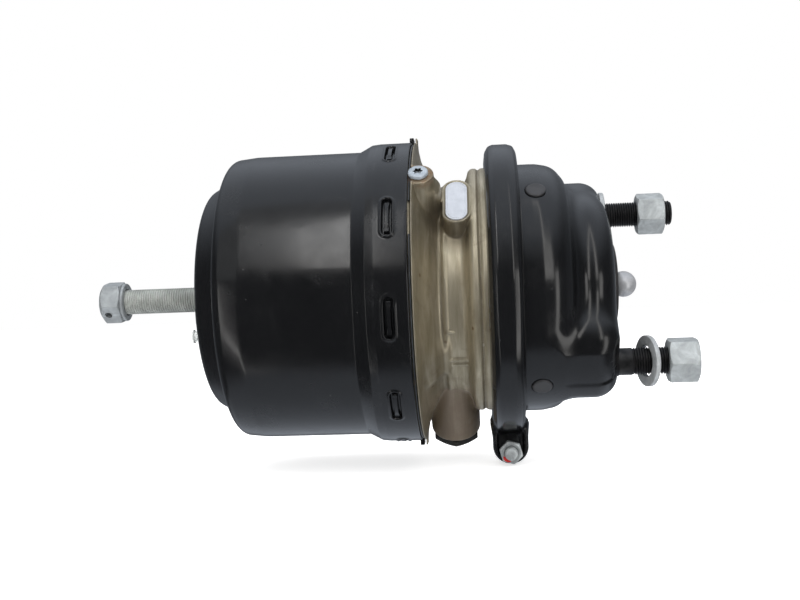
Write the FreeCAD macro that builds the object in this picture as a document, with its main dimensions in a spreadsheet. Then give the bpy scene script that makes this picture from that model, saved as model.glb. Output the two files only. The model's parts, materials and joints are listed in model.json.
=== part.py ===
import FreeCAD, Part
import math
import os
import Sketcher
from FreeCAD import Placement, Rotation, Vector

# Spring-brake chamber for a disc brake, lying on its axis.
# Frame: origin at the centre of the mounting face, +X along the push rod (out of the face),
# +Z up, the side with the clamp bolt's nut faces -Y. Lengths in millimetres, angles in degrees.

SIZES = [
    ("stroke", 52.0, "travel of the piston, the push rod and the release bolt"),
    # spring housing (pressed steel cup)
    ("sh_end", 250.5, "outer end of the cup, back from the mounting face"),
    ("sh_r", 88.1, "outer radius of the cup"),
    ("sh_wall", 2.6, "wall of the cup"),
    ("rim_r", 92.7, "outer radius of the widened rim"),
    ("rim_in", 90.2, "inner radius of the widened rim"),
    ("rim_x", 117.9, "open end of the rim"),
    ("slot_w", 5.2, "width of a rim slot"),
    ("slot_l", 25.0, "length of a rim slot"),
    ("slot_x", 129.2, "rim slots, back from the mounting face"),
    ("slot_n", 10.0, "number of rim slots"),
    ("slot_a", 27.0, "angle of the first rim slot from +Z towards -Y"),
    # intermediate flange (die cast)
    ("ring_r", 92.9, "outer radius of the flange's rim"),
    ("fin_r", 96.4, "outer radius of the two stop fins on it"),
    ("ring_x", 116.2, "left face of the flange's rim"),
    ("spig_r", 89.9, "spigot inside the spring housing's rim"),
    ("neck_r", 65.4, "neck of the flange"),
    ("shoulder_r", 75.2, "shoulder under the clamp"),
    ("lip_r", 84.0, "lips held by the clamp"),
    ("hub_r", 29.0, "hub round the piston tube"),
    ("bore_r", 24.2, "bore of the hub"),
    ("port_r", 15.2, "port boss"),
    ("port_bore", 10.2, "port bore"),
    ("port_x", 97.5, "lower port, back from the face"),
    ("port2_x", 92.0, "upper port, back from the face"),
    # clamp band
    ("band_r", 89.3, "outer radius of the clamp band"),
    ("band_t", 3.0, "thickness of the clamp band"),
    ("band_x", 63.6, "middle plane of the clamp band"),
    ("ear_w", 21.6, "width of a clamp ear"),
    ("ear_t", 3.0, "thickness of a clamp ear"),
    ("bolt_z", 101.0, "clamp bolt below the axis"),
    # service housing (pressed steel)
    ("sv_r", 76.3, "outer radius of the service housing"),
    ("sv_wall", 3.0, "wall of the service housing"),
    ("nose_r", 56.0, "round nose behind the mounting face"),
    ("lobe_w", 24.0, "half width of the stud lobes"),
    ("lobe_r", 75.2, "radius to the end of the stud lobes"),
    ("nose_round", 7.0, "rounding of the nose's edge"),
    ("lobe_round", 13.0, "rounding of the stud lobes' corners"),
    ("open_r", 25.0, "opening for the boot"),
    # studs, nuts, washers
    ("pcd", 120.65, "distance between the two studs"),
    ("stud_a", 40.8, "turn of the stud line from +Z towards +Y"),
    ("stud_r", 8.0, "plain shank of a stud"),
    ("stud_thr", 7.7, "thread of a stud"),
    ("stud_neck", 8.5, "knurled neck of a stud in the housing wall"),
    ("stud_end", 46.6, "free end of a stud"),
    ("nut_af", 24.0, "across flats of the M16 hexes"),
    ("nut_t", 17.5, "thickness of a stud nut"),
    ("nut1_x", 24.0, "upper nut, from the face"),
    ("nut2_x", 28.4, "lower nut, from the face"),
    ("washer_r", 15.0, "washer of a stud"),
    ("washer_t", 3.0, "thickness of a stud washer"),
    # release bolt
    ("rb_head", 320.6, "outer end of the release bolt's head"),
    ("rb_seat", 306.8, "under the release bolt's head"),
    ("rb_end", 160.0, "inner end of the release bolt"),
    ("rb_r", 7.9, "release bolt's thread"),
    # spring side
    ("pi_x", 172.0, "right face of the spring piston"),
    ("pi_r", 84.7, "radius of the spring piston"),
    ("tube_r", 20.0, "outer radius of the piston tube"),
    ("tube_in", 16.5, "inner radius of the piston tube"),
    ("tube_x", 80.0, "right end of the piston tube"),
    ("ps_r", 59.0, "mean radius of the power spring"),
    ("ps_wire", 5.6, "wire radius of the power spring"),
    ("ps_pitch", 12.6, "pitch of the compressed power spring"),
    # service side
    ("plate_x", 74.1, "left face of the push plate"),
    ("plate_r", 51.5, "radius of the push plate"),
    ("rod_r", 8.0, "push rod and its ball end"),
    ("ball_x", 9.5, "centre of the ball end"),
    ("boot_r", 26.5, "outer radius of the boot's lip"),
    ("rs_r1", 45.0, "return spring's large end"),
    ("rs_r2", 27.6, "return spring's small end"),
    ("rs_wire", 2.1, "wire radius of the return spring"),
    # label boss
    ("lab_w", 12.6, "width of the label plate"),
    ("lab_l", 32.6, "length of the label plate"),
    ("lab_r", 74.2, "label seat from the axis"),
    ("lab_a", 46.5, "label seat's normal from +Z towards -Y"),
    ("lab_x", 90.8, "label plate, back from the face"),
    # locking screw
    ("lock_x", 111.95, "locking screw, back from the face"),
    ("lock_r", 91.6, "top of the locking screw's boss"),
    ("lock_a", 43.2, "locking screw from +Z towards -Y"),
    ("lock_boss", 9.0, "radius of the locking screw's boss"),
]

doc = FreeCAD.newDocument("air_brake_chamber")
sheet = doc.addObject("Spreadsheet::Sheet", "Dims")
for row, (alias, value, note) in enumerate(SIZES, 1):
    sheet.set("A%d" % row, note)
    sheet.set("B%d" % row, "%g" % value)
    sheet.setAlias("B%d" % row, alias)
doc.recompute()


class Size:
    """A length worked out from the sheet: its value now, and the same as an expression."""

    def __init__(self, value, text):
        self.value, self.text = float(value), text

    def __add__(self, other):
        o = size(other)
        return Size(self.value + o.value, "(%s + %s)" % (self.text, o.text))

    def __radd__(self, other):
        return size(other) + self

    def __sub__(self, other):
        o = size(other)
        return Size(self.value - o.value, "(%s - %s)" % (self.text, o.text))

    def __rsub__(self, other):
        return size(other) - self

    def __mul__(self, k):
        return Size(self.value * k, "(%s * %r)" % (self.text, float(k)))

    __rmul__ = __mul__

    def __neg__(self):
        return Size(-self.value, "(0 - %s)" % self.text)


def size(v):
    return v if isinstance(v, Size) else Size(v, "(%r)" % float(v) if v >= 0 else "(0 - %r)" % -float(v))


def d(alias):
    return Size(float(sheet.get(alias)), "Dims.%s" % alias)


def num(alias):
    return float(sheet.get(alias))


NODES = {}


def keep(obj, name):
    obj.Label = name
    NODES[name] = obj
    return obj


def new_body(name):
    body = doc.addObject("PartDesign::Body", name + "_body")
    body.Label = name
    return body


def origin_of(body, role):
    return [f for f in body.Origin.OriginFeatures if f.Role == role][0]


def new_sketch(body, name, plane="XZ_Plane", offset=None):
    sk = body.newObject("Sketcher::SketchObject", name)
    sk.AttachmentSupport = [(origin_of(body, plane), "")]
    sk.MapMode = "FlatFace"
    if offset is not None:
        sk.AttachmentOffset = offset
    return sk


def pin(sk, geo, pos, point):
    """Ties one sketch point to its two sizes."""
    for k, (kind, axis) in enumerate((("DistanceX", -2), ("DistanceY", -1))):
        want = point[k]
        if abs(want.value) < 1e-9:
            sk.addConstraint(Sketcher.Constraint("PointOnObject", geo, pos, axis))
            continue
        if want.value > 0:
            n = sk.addConstraint(Sketcher.Constraint(kind, -1, 1, geo, pos, want.value))
            text = want.text
        else:
            n = sk.addConstraint(Sketcher.Constraint(kind, geo, pos, -1, 1, -want.value))
            text = "0 - %s" % want.text
        label = "%s%d" % ("u" if k == 0 else "v", geo)
        sk.renameConstraint(n, label)
        sk.setExpression("Constraints." + label, text)


def polygon(sk, points):
    """A closed outline of straight runs; every corner is tied to the sheet."""
    pts = [(size(a), size(b)) for a, b in points]
    n = len(pts)
    for i in range(n):
        a, b = pts[i], pts[(i + 1) % n]
        sk.addGeometry(Part.LineSegment(Vector(a[0].value, a[1].value, 0), Vector(b[0].value, b[1].value, 0)), False)
    for i in range(n):
        sk.addConstraint(Sketcher.Constraint("Coincident", i, 2, (i + 1) % n, 1))
    for i in range(n):
        pin(sk, i, 1, pts[i])


def stadium(sk, half_x, half_y):
    """A long round-ended outline about the sketch's origin, longer along its second axis."""
    r, c = half_x.value, half_y.value - half_x.value
    sk.addGeometry(Part.LineSegment(Vector(r, -c, 0), Vector(r, c, 0)), False)
    sk.addGeometry(Part.ArcOfCircle(Part.Circle(Vector(0, c, 0), Vector(0, 0, 1), r), 0, math.pi), False)
    sk.addGeometry(Part.LineSegment(Vector(-r, c, 0), Vector(-r, -c, 0)), False)
    sk.addGeometry(Part.ArcOfCircle(Part.Circle(Vector(0, -c, 0), Vector(0, 0, 1), r), math.pi, 2 * math.pi), False)
    for a, b in ((0, 1), (1, 2), (2, 3), (3, 0)):
        sk.addConstraint(Sketcher.Constraint("Tangent", a, 2, b, 1))
    sk.addConstraint(Sketcher.Constraint("PointOnObject", 1, 3, -2))
    sk.addConstraint(Sketcher.Constraint("Symmetric", 1, 3, 3, 3, -1, 1))
    sk.addConstraint(Sketcher.Constraint("Vertical", 0))
    n = sk.addConstraint(Sketcher.Constraint("Radius", 1, r))
    sk.renameConstraint(n, "end_r")
    sk.setExpression("Constraints.end_r", half_x.text)
    n = sk.addConstraint(Sketcher.Constraint("DistanceY", -1, 1, 1, 3, c))
    sk.renameConstraint(n, "end_c")
    sk.setExpression("Constraints.end_c", "%s - %s" % (half_y.text, half_x.text))


def circle(sk, radius):
    radius = size(radius)
    sk.addGeometry(Part.Circle(Vector(0, 0, 0), Vector(0, 0, 1), radius.value), False)
    g = sk.GeometryCount - 1
    sk.addConstraint(Sketcher.Constraint("Coincident", g, 3, -1, 1))
    n = sk.addConstraint(Sketcher.Constraint("Radius", g, radius.value))
    sk.renameConstraint(n, "r%d" % g)
    sk.setExpression("Constraints.r%d" % g, radius.text)


def hexagon(sk, across):
    """A hexagon about the sketch's origin with two corners on its second axis."""
    a, c = across * 0.5, across * (0.5 / math.cos(math.pi / 6))
    polygon(sk, [(a, c * 0.5), (size(0), c), (-a, c * 0.5), (-a, -(c * 0.5)), (size(0), -c), (a, -(c * 0.5))])


def turned(name, points):
    """A piece turned about the chamber's axis from its half section (x, radius)."""
    body = new_body(name)
    sk = new_sketch(body, name + "_section")
    polygon(sk, points)
    rev = body.newObject("PartDesign::Revolution", name + "_turned")
    rev.Profile = sk
    rev.ReferenceAxis = (sk, ["H_Axis"])
    rev.Angle = 360
    doc.recompute()
    return body


def prism(name, draw, length, plane="XY_Plane", offset=None, both=False):
    """A piece of one outline and one thickness."""
    body = new_body(name)
    sk = new_sketch(body, name + "_outline", plane, offset)
    draw(sk)
    pad = body.newObject("PartDesign::Pad", name + "_pad")
    pad.Profile = sk
    pad.setExpression("Length", size(length).text)
    if both:
        pad.Midplane = True
    doc.recompute()
    return body


def rod(name, radius, height, at, along):
    """A cylinder that starts at a point and runs along a direction."""
    c = doc.addObject("Part::Cylinder", name)
    c.setExpression("Radius", size(radius).text)
    c.setExpression("Height", size(height).text)
    c.Placement = Placement(Vector(*at), Rotation(Vector(0, 0, 1), Vector(*along)))
    return c


def ring(name, r1, r2, x):
    """A round ring about the chamber's axis."""
    c = doc.addObject("Part::Torus", name)
    c.setExpression("Radius1", size(r1).text)
    c.setExpression("Radius2", size(r2).text)
    c.Placement = Placement(Vector(x, 0, 0), Rotation(Vector(0, 0, 1), Vector(1, 0, 0)))
    return c


def block(name, sizes_xyz, at, turn=None):
    c = doc.addObject("Part::Box", name)
    for side, s in zip(("Length", "Width", "Height"), sizes_xyz):
        c.setExpression(side, size(s).text)
    c.Placement = Placement(Vector(*at), turn or Rotation())
    return c


def fused(name, shapes):
    f = doc.addObject("Part::MultiFuse", name)
    f.Shapes = shapes
    return f


def cut(name, base, tool):
    c = doc.addObject("Part::Cut", name)
    c.Base, c.Tool = base, tool
    return c


def common(name, shapes):
    c = doc.addObject("Part::MultiCommon", name)
    c.Shapes = shapes
    return c


def group(name, shapes):
    c = doc.addObject("Part::Compound", name)
    c.Links = shapes
    return c


def radial(angle):
    """Unit vector across the axis, turned from +Z towards -Y."""
    a = math.radians(angle)
    return Vector(0, -math.sin(a), math.cos(a))


AX = Vector(1, 0, 0)

# ---------------------------------------------------------------- spring housing
e, w = -d("sh_end"), d("sh_wall")
R = d("sh_r")
spring_housing = turned("spring_housing", [
    (e, 9.5), (e, 28.0), (e + 0.9, 40.0), (e + 6.0, 63.4), (e + 7.5, 66.3), (e + 9.8, 68.5), (e + 20.2, 74.2),
    (e + 20.2, 80.4), (e + 20.9, 83.0), (e + 22.6, 85.5), (e + 24.4, 86.6), (e + 26.2, R - 1.0), (e + 36.5, R), (-149.5, R + 0.1), (-146.0, R + 1.5),
    (-141.5, d("rim_r") - 0.8), (-138.0, d("rim_r")), (-d("rim_x"), d("rim_r") + 0.1), (-d("rim_x"), d("rim_in")),
    (-137.4, d("rim_in")), (-140.6, d("rim_in") - 0.8), (-145.4, R - w + 1.2), (-149.0, R - w), (e + 36.9, R - w - 0.1),
    (e + 27.0, R - w - 1.1), (e + 24.6, 83.2), (e + 23.2, 80.6), (e + 22.8, 78.0), (e + 22.8, 72.7), (e + 11.1, 66.3),
    (e + 9.5, 65.0), (e + 8.6, 62.9), (e + 3.5, 39.5), (e + w, 27.6), (e + w, 9.5),
])
# ten slots through the rim, evenly spaced round it
ang = num("slot_a")
down = Rotation(AX, ang)
slot_offset = Placement(Vector(-num("slot_x"), 0, 0) + down.multVec(Vector(0, 0, 82)), down)
sk = new_sketch(spring_housing, "slot_outline", "XY_Plane", slot_offset)
stadium(sk, d("slot_w") * 0.5, d("slot_l") * 0.5)
before = spring_housing.Shape.Volume
slot = spring_housing.newObject("PartDesign::Pocket", "slot")
slot.Profile = sk
slot.Length = 16
slot.Reversed = True
doc.recompute()
if slot.Shape.Volume > before - 50:
    slot.Reversed = False
    doc.recompute()
print("first slot takes away %.0f mm3" % (before - slot.Shape.Volume))
slots = spring_housing.newObject("PartDesign::PolarPattern", "slots")
slots.Originals = [slot]
slots.Axis = (origin_of(spring_housing, "X_Axis"), [""])
slots.Angle = 360
slots.setExpression("Occurrences", "Dims.slot_n")
spring_housing.Tip = slots
doc.recompute()
print("ten slots take away %.0f mm3" % (before - spring_housing.Shape.Volume))
# hole for the small end plug, and the two stop lugs of the rim
plug_at = Vector(0, -55.0, -22.0)
plug_hole = rod("plug_hole", 3.05, 20.0, (-num("sh_end") - 4, plug_at.y, plug_at.z), (1, 0, 0))
housing_drilled = cut("housing_drilled", spring_housing, plug_hole)
lugs = []
for k, a in enumerate((-2.0, 182.0)):
    turn = Rotation(AX, a)
    lug = block("stop_lug%d" % k, (2.7, 9.0, 4.3), (0, 0, 0))
    lug.Placement = Placement(Vector(-num("rim_x") - 2.0, 0, 0) + turn.multVec(Vector(0, -4.5, num("rim_in") + 2.0)), turn)
    lugs.append(lug)
keep(fused("spring_housing_all", [housing_drilled] + lugs), "spring_housing")
spring_housing.Label = "spring_housing_cup"

keep(turned("release_nut", [
    (e - 1.8, 8.25), (e - 1.8, 13.0), (e - 0.02, 13.0), (e - 0.02, 9.3), (e + w + 0.02, 9.3), (e + w + 0.02, 17.0),
    (e + w + 14.0, 17.0), (e + w + 15.5, 15.5), (e + w + 15.5, 8.25),
]), "release_nut")

end_plug = fused("end_plug_all", [
    rod("end_plug_shank", 2.9, 5.0, (-247.6, plug_at.y, plug_at.z), (1, 0, 0)),
    rod("end_plug_head", 4.0, 1.2, (-248.3, plug_at.y, plug_at.z), (1, 0, 0)),
])
keep(end_plug, "end_plug")

# ---------------------------------------------------------------- power spring, seat
keep(turned("spring_seat", [(e + 7.4, 51.0), (e + 8.6, 51.0), (e + 11.9, 63.0), (e + 11.9, 65.1), (e + 10.6, 65.1), (e + 7.4, 51.4)]), "spring_seat")


def coil(name, pitch, height, r1, angle, wire, x0):
    """A wire wound round the chamber's axis, from its first turn's middle at x0."""
    helix = Part.makeLongHelix(pitch, height, r1, angle) if angle == 0 else Part.makeHelix(pitch, height, r1, angle)
    start = helix.Edges[0].valueAt(helix.Edges[0].FirstParameter)
    tan = helix.Edges[0].tangentAt(helix.Edges[0].FirstParameter)
    section = Part.Wire([Part.makeCircle(wire, start, tan)])
    spine = Part.Wire(helix.Edges)
    shape = spine.makePipeShell([section], True, True)
    f = doc.addObject("Part::Feature", name)
    if shape.ShapeType != "Solid":
        shape = Part.Solid(Part.Shell(shape.Faces)) if not shape.Solids else shape.Solids[0]
    if shape.Volume < 0:
        shape.reverse()
    f.Shape = shape
    f.Placement = Placement(Vector(x0, 0, 0), Rotation(Vector(0, 0, 1), Vector(1, 0, 0)))
    return f


pw = num("ps_wire")
keep(coil("power_spring_wire", num("ps_pitch"), num("ps_pitch") * 4, num("ps_r"), 0.0, pw, -232.2), "power_spring")

# ---------------------------------------------------------------- spring piston
p = -d("pi_x")
PR = d("pi_r")
keep(turned("spring_piston", [
    (p, 20.15), (p, PR - 0.6), (p - 0.6, PR), (p - 3.0, PR), (p - 3.0, PR - 2.1), (p - 7.0, PR - 2.1), (p - 7.0, PR),
    (p - 12.0, PR), (p - 12.0, PR - 3.0), (p - 18.0, PR - 3.0), (p - 18.0, PR), (p - 23.4, PR), (p - 24.0, PR - 0.6),
    (p - 24.0, 79.0), (p - 6.0, 76.5), (p - 4.2, 74.5), (p - 4.2, 29.0), (p - 10.0, 26.0), (p - 10.0, 20.15),
]), "spring_piston")
keep(turned("piston_seal", [
    (p - 12.3, PR - 2.9), (p - 12.3, PR + 0.2), (p - 13.4, PR + 0.3), (p - 14.6, PR - 0.9), (p - 15.4, PR - 0.9),
    (p - 16.6, PR + 0.3), (p - 17.7, PR + 0.2), (p - 17.7, PR - 2.9),
]), "piston_seal")
keep(turned("piston_guide_ring", [(p - 3.3, PR - 2.0), (p - 3.3, PR + 0.3), (p - 6.7, PR + 0.3), (p - 6.7, PR - 2.0)]), "piston_guide_ring")
TR, TI, tx = d("tube_r"), d("tube_in"), -d("tube_x")
keep(turned("piston_tube", [
    (p - 13.0, 12.0), (p - 13.0, TR - 0.5), (p - 12.5, TR), (tx, TR), (tx, TI), (p - 8.0, TI), (p - 8.0, 12.0),
]), "piston_tube")
keep(turned("tube_circlip", [(p - 11.9, TR + 0.1), (p - 11.9, TR + 2.6), (p - 10.1, TR + 2.6), (p - 10.1, TR + 0.1)]), "tube_circlip")
keep(turned("tube_nose", [
    (tx - 5.0, 0.0), (tx - 5.0, TI - 0.1), (tx + 0.02, TI - 0.1), (tx + 0.02, TR - 0.2), (tx + 1.4, TR - 0.2),
    (tx + 2.4, TR - 1.4), (tx + 2.4, 0.0),
]), "tube_nose")

# ---------------------------------------------------------------- release bolt
hb, hs, hi = -d("rb_head"), -d("rb_seat"), -d("rb_end")
shank = turned("release_shank", [
    (hs - 0.5, 0.0), (hs - 0.5, d("rb_r")), (hi - 12.8, d("rb_r")), (hi - 12.8, 11.0), (hi - 8.0, 11.0),
    (hi - 8.0, d("rb_r")), (hi - 1.0, d("rb_r")), (hi, d("rb_r") - 1.0), (hi, 0.0),
])
hexa = prism("release_hex", lambda sk: hexagon(sk, d("nut_af")), d("rb_head") - d("rb_seat"), "YZ_Plane",
             Placement(Vector(0, 0, -num("rb_head")), Rotation()))
hexa.Placement = Placement(Vector(0, 0, 0), Rotation(AX, 12.0 + 30.0))
dome = turned("release_head_round", [(hb, 0.0), (hb, 9.6), (hb + 0.9, 11.6), (hb + 3.4, 13.9), (hs - 0.6, 13.95), (hs, 13.0), (hs, 0.0)])
head = common("release_head", [hexa, dome])
cross = rod("cross_hole", 2.3, 40.0, (-314.8, 0, 0), (0, 0, 1))
cross_turn = radial(90.0 + 42.0)
cross.Placement = Placement(Vector(-314.8, 0, 0) - cross_turn * 20.0, Rotation(Vector(0, 0, 1), cross_turn))
keep(cut("release_bolt_all", fused("release_bolt_blank", [shank, head]), cross), "release_bolt")
keep(turned("release_washer", [(hs + 0.02, 8.4), (hs + 0.02, 12.0), (hs + 1.9, 12.0), (hs + 1.9, 8.4)]), "release_washer")
keep(turned("thrust_disc", [(p - 7.6, 8.3), (p - 7.6, TI - 0.5), (p - 1.6, TI - 0.5), (p - 1.0, TI - 1.1), (p - 1.0, 8.3)]), "thrust_disc")

# ---------------------------------------------------------------- intermediate flange
q, RR, S, NR, SR, LR = -d("ring_x"), d("ring_r"), d("spig_r"), d("neck_r"), d("shoulder_r"), d("lip_r")
core = turned("flange_core", [
    (-139.5, 0.0), (-139.5, S - 0.8), (-138.6, S), (-134.6, S), (-134.6, S - 2.0), (-130.4, S - 2.0), (-130.4, S), (q, S),
    (q, RR - 0.3), (q + 0.3, RR), (q + 0.7, RR), (q + 1.1, RR - 2.5), (-113.5, 82.5), (-110.5, 74.6), (-106.5, 68.2),
    (-102.8, NR - 0.6), (-101.0, NR - 1.0), (-98.9, NR + 0.3), (-97.2, NR - 0.2), (-87.4, NR + 0.2), (-85.4, 69.2),
    (-84.2, 72.8), (-82.6, SR - 0.2), (-79.2, SR), (-78.6, SR - 1.0), (-77.6, SR - 1.0), (-77.0, SR), (-71.0, SR + 0.3),
    (-71.0, LR - 0.6), (-70.4, LR), (-67.2, LR), (-67.2, 0.0),
])
low_dir = Vector(0, math.sin(math.radians(36.0)), -math.cos(math.radians(36.0)))
low_at = Vector(-num("port_x"), 13.0, -86.0)
up_dir = Vector(0, 0.74, 0.673)
up_dir.normalize()
up_at = Vector(-num("port2_x"), up_dir.y * 87.0, up_dir.z * 87.0)
bosses = [core]
for nm, at, way in (("low", low_at, low_dir), ("up", up_at, up_dir)):
    bosses.append(rod(nm + "_boss", d("port_r"), 46.0, at - way * 46.0, way))
lock_dir = radial(num("lock_a"))
lock_at = Vector(-num("lock_x"), 0, 0)
bosses.append(rod("lock_boss", d("lock_boss"), d("lock_r") - 55.0, lock_at + lock_dir * 55.0, lock_dir))
label_boss = prism("label_boss", lambda sk: stadium(sk, d("lab_w") * 0.5 + 2.1, d("lab_l") * 0.5 + 2.1), d("lab_r") - 52.0,
                   "XY_Plane", Placement(Vector(0, 0, 52.0), Rotation()))
label_turn = Placement(Vector(-num("lab_x"), 0, 0), Rotation(AX, num("lab_a")))
label_boss.Placement = label_turn
bosses.append(label_boss)
# two thin fins on the rim, opposite the housing's stop lugs
for k, a in enumerate((-2.0, 182.0)):
    turn = Rotation(AX, a)
    fin = block("stop_fin%d" % k, (1.0, 9.0, num("fin_r") - 90.5), (0, 0, 0))
    fin.Placement = Placement(Vector(-num("ring_x"), 0, 0) + turn.multVec(Vector(0, -4.5, 90.5)), turn)
    bosses.append(fin)
blank = fused("flange_blank", bosses)
left_hollow = turned("left_hollow", [
    (-140.5, 0.0), (-140.5, 86.2), (-119.4, 86.2), (-119.4, 77.0), (-113.6, 66.5), (-110.2, 58.0), (-109.6, 30.5),
    (-117.4, 29.5), (-117.4, 0.0),
])
right_hollow = turned("right_hollow", [
    (-66.2, 0.0), (-66.2, 74.6), (-67.6, 74.6), (-72.0, 68.4), (-79.6, 60.6), (-91.5, 60.0), (-97.4, 54.5), (-98.4, 31.0),
    (-84.0, 29.5), (-84.0, 0.0),
])
hub_bore = turned("hub_bore", [(-118.4, 0.0), (-118.4, d("bore_r")), (-83.0, d("bore_r")), (-83.0, 0.0)])
rim_room = turned("rim_room", [(-145.0, S + 0.02), (-145.0, 125.0), (q, 125.0), (q, S + 0.02)])
tools = [left_hollow, right_hollow, hub_bore, rim_room]
for nm, at, way in (("low", low_at, low_dir), ("up", up_at, up_dir)):
    tools.append(rod(nm + "_bore", d("port_bore"), 18.0, at - way * 16.0, way))
tools.append(rod("low_way", 3.5, 34.0, low_at - low_dir * 34.0, low_dir))
tools.append(rod("up_way", 3.5, 34.0, up_at - up_dir * 34.0, up_dir))
tools.append(rod("lock_bore", 3.1, 26.0, lock_at + lock_dir * 74.0, lock_dir))
tools.append(rod("lock_room", 6.3, 12.0, lock_at + lock_dir * (num("lock_r") + 0.02), lock_dir))
keep(cut("flange_all", blank, fused("flange_tools", tools)), "intermediate_flange")

keep(ring("flange_o_ring", S - 0.9, 1.0, -132.5), "flange_o_ring")
keep(ring("retaining_wire", 90.85, 0.55, -116.9), "retaining_wire")
keep(turned("tube_bush", [(-112.0, TR + 0.3), (-112.0, d("bore_r") - 0.2), (-97.0, d("bore_r") - 0.2), (-97.0, TR + 0.3)]), "tube_bush")
keep(turned("tube_seal", [
    (-96.6, TR + 0.3), (-96.6, d("bore_r") - 0.2), (-91.4, d("bore_r") - 0.2), (-90.6, d("bore_r") - 0.9),
    (-93.2, TR + 2.1), (-90.6, TR + 0.9), (-91.4, TR + 0.3),
]), "tube_seal")
keep(turned("tube_wiper", [(-116.8, TR + 0.35), (-116.8, d("bore_r") - 0.2), (-112.4, d("bore_r") - 0.2), (-112.4, TR + 1.0), (-115.4, TR + 0.35)]), "tube_wiper")


def port_plug(name, at, way):
    body = prism(name + "_hex", lambda sk: hexagon(sk, size(27.0)), 6.0)
    base = at + way * 0.02
    turn = Rotation(Vector(1, 0, 0), Vector(0, 1, 0), way, "ZXY")
    body.Placement = Placement(base, turn)
    skirt = rod(name + "_skirt", 10.0, 10.0, at - way * 9.0, way)
    return fused(name + "_all", [body, skirt])


keep(port_plug("port_plug_lower", low_at, low_dir), "port_plug_lower")
keep(port_plug("port_plug_upper", up_at, up_dir), "port_plug_upper")

screw_top = num("lock_r") + 0.1
screw = fused("locking_screw_blank", [
    rod("locking_head", 5.85, 2.3, lock_at + lock_dir * screw_top, lock_dir),
    rod("locking_shank", 2.9, 16.0, lock_at + lock_dir * (screw_top - 15.5), lock_dir),
])
socket = prism("locking_socket", lambda sk: hexagon(sk, size(3.9)), 2.0)
socket.Placement = Placement(lock_at + lock_dir * (screw_top + 0.8), Rotation(Vector(0, 0, 1), lock_dir))
keep(cut("locking_screw_all", screw, socket), "locking_screw")

plate = prism("label_plate", lambda sk: stadium(sk, d("lab_w") * 0.5, d("lab_l") * 0.5), 0.8, "XY_Plane",
              Placement(Vector(0, 0, num("lab_r") + 0.01), Rotation()))
plate.Placement = label_turn
keep(plate, "label_plate")

# ---------------------------------------------------------------- clamp band with its bolt
c, BR, bt = -d("band_x"), d("band_r"), d("band_t")
band = turned("band_ring", [
    (c - 11.0, 77.0), (c - 9.4, BR - 2.2), (c - 7.6, BR), (c + 7.6, BR), (c + 9.4, BR - 2.2), (c + 11.0, 77.0),
    (c + 8.4, 77.0), (c + 7.5, BR - bt - 0.9), (c + 6.6, BR - bt), (c - 6.6, BR - bt), (c - 7.5, BR - bt - 0.9), (c - 8.4, 77.0),
])
gap = block("band_gap", (30.0, 9.6, 40.0), (-num("band_x") - 15.0, -4.8, -110.0))
split = cut("band_split", band, gap)
ears = [split]
ew = num("ear_w")
for k, y in enumerate((-8.0, 5.0)):
    def ear_outline(sk):
        r = ew / 2
        z0, z1 = -num("bolt_z") + 3.6, -num("band_r") + 2.9
        cx = -num("band_x")
        sk.addGeometry(Part.LineSegment(Vector(cx + r, z1, 0), Vector(cx - r, z1, 0)), False)
        sk.addGeometry(Part.LineSegment(Vector(cx - r, z1, 0), Vector(cx - r, z0, 0)), False)
        sk.addGeometry(Part.ArcOfCircle(Part.Circle(Vector(cx, z0, 0), Vector(0, 0, 1), r), math.pi, 2 * math.pi), False)
        sk.addGeometry(Part.LineSegment(Vector(cx + r, z0, 0), Vector(cx + r, z1, 0)), False)
        sk.addConstraint(Sketcher.Constraint("Coincident", 0, 2, 1, 1))
        sk.addConstraint(Sketcher.Constraint("Tangent", 1, 2, 2, 1))
        sk.addConstraint(Sketcher.Constraint("Tangent", 2, 2, 3, 1))
        sk.addConstraint(Sketcher.Constraint("Coincident", 3, 2, 0, 1))
        sk.addConstraint(Sketcher.Constraint("Horizontal", 0))
        sk.addConstraint(Sketcher.Constraint("Vertical", 1))
        sk.addConstraint(Sketcher.Constraint("Vertical", 3))
        for label, kind, args, text in (
            ("mid", "DistanceX", (2, 3, -1, 1, num("band_x")), "Dims.band_x"),
            ("low", "DistanceY", (2, 3, -1, 1, -z0), "Dims.bolt_z - 3.6"),
            ("top", "DistanceY", (0, 1, -1, 1, -z1), "Dims.band_r - 2.9"),
            ("round", "Radius", (2, r), "Dims.ear_w / 2"),
        ):
            n = sk.addConstraint(Sketcher.Constraint(kind, *args))
            sk.renameConstraint(n, label)
            sk.setExpression("Constraints." + label, text)
    ear = prism("clamp_ear%d" % k, ear_outline, d("ear_t"), "XZ_Plane", Placement(Vector(0, 0, -y - 3.0), Rotation()))
    ears.append(ear)
eared = fused("band_eared", ears)
bz = num("bolt_z")
bolt_hole = rod("clamp_bolt_hole", 4.5, 60.0, (-num("band_x"), -30.0, -bz), (0, 1, 0))
keep(cut("clamp_band_all", eared, bolt_hole), "clamp_band")
bolt_hex = prism("clamp_bolt_hex", lambda sk: hexagon(sk, size(13.0)), 5.3, "XZ_Plane")
bolt_hex.Placement = Placement(Vector(-num("band_x"), 13.32, -bz), Rotation())
keep(fused("clamp_bolt_all", [rod("clamp_bolt_shank", 4.0, 30.0, (-num("band_x"), -21.5, -bz), (0, 1, 0)), bolt_hex]), "clamp_bolt")
nut_hex = prism("clamp_nut_hex", lambda sk: hexagon(sk, size(13.0)), 6.5, "XZ_Plane")
nut_hex.Placement = Placement(Vector(-num("band_x"), -8.02, -bz), Rotation())
keep(cut("clamp_nut_all", nut_hex, rod("clamp_nut_bore", 4.2, 20.0, (-num("band_x"), -20.0, -bz), (0, 1, 0))), "clamp_nut")

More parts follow.
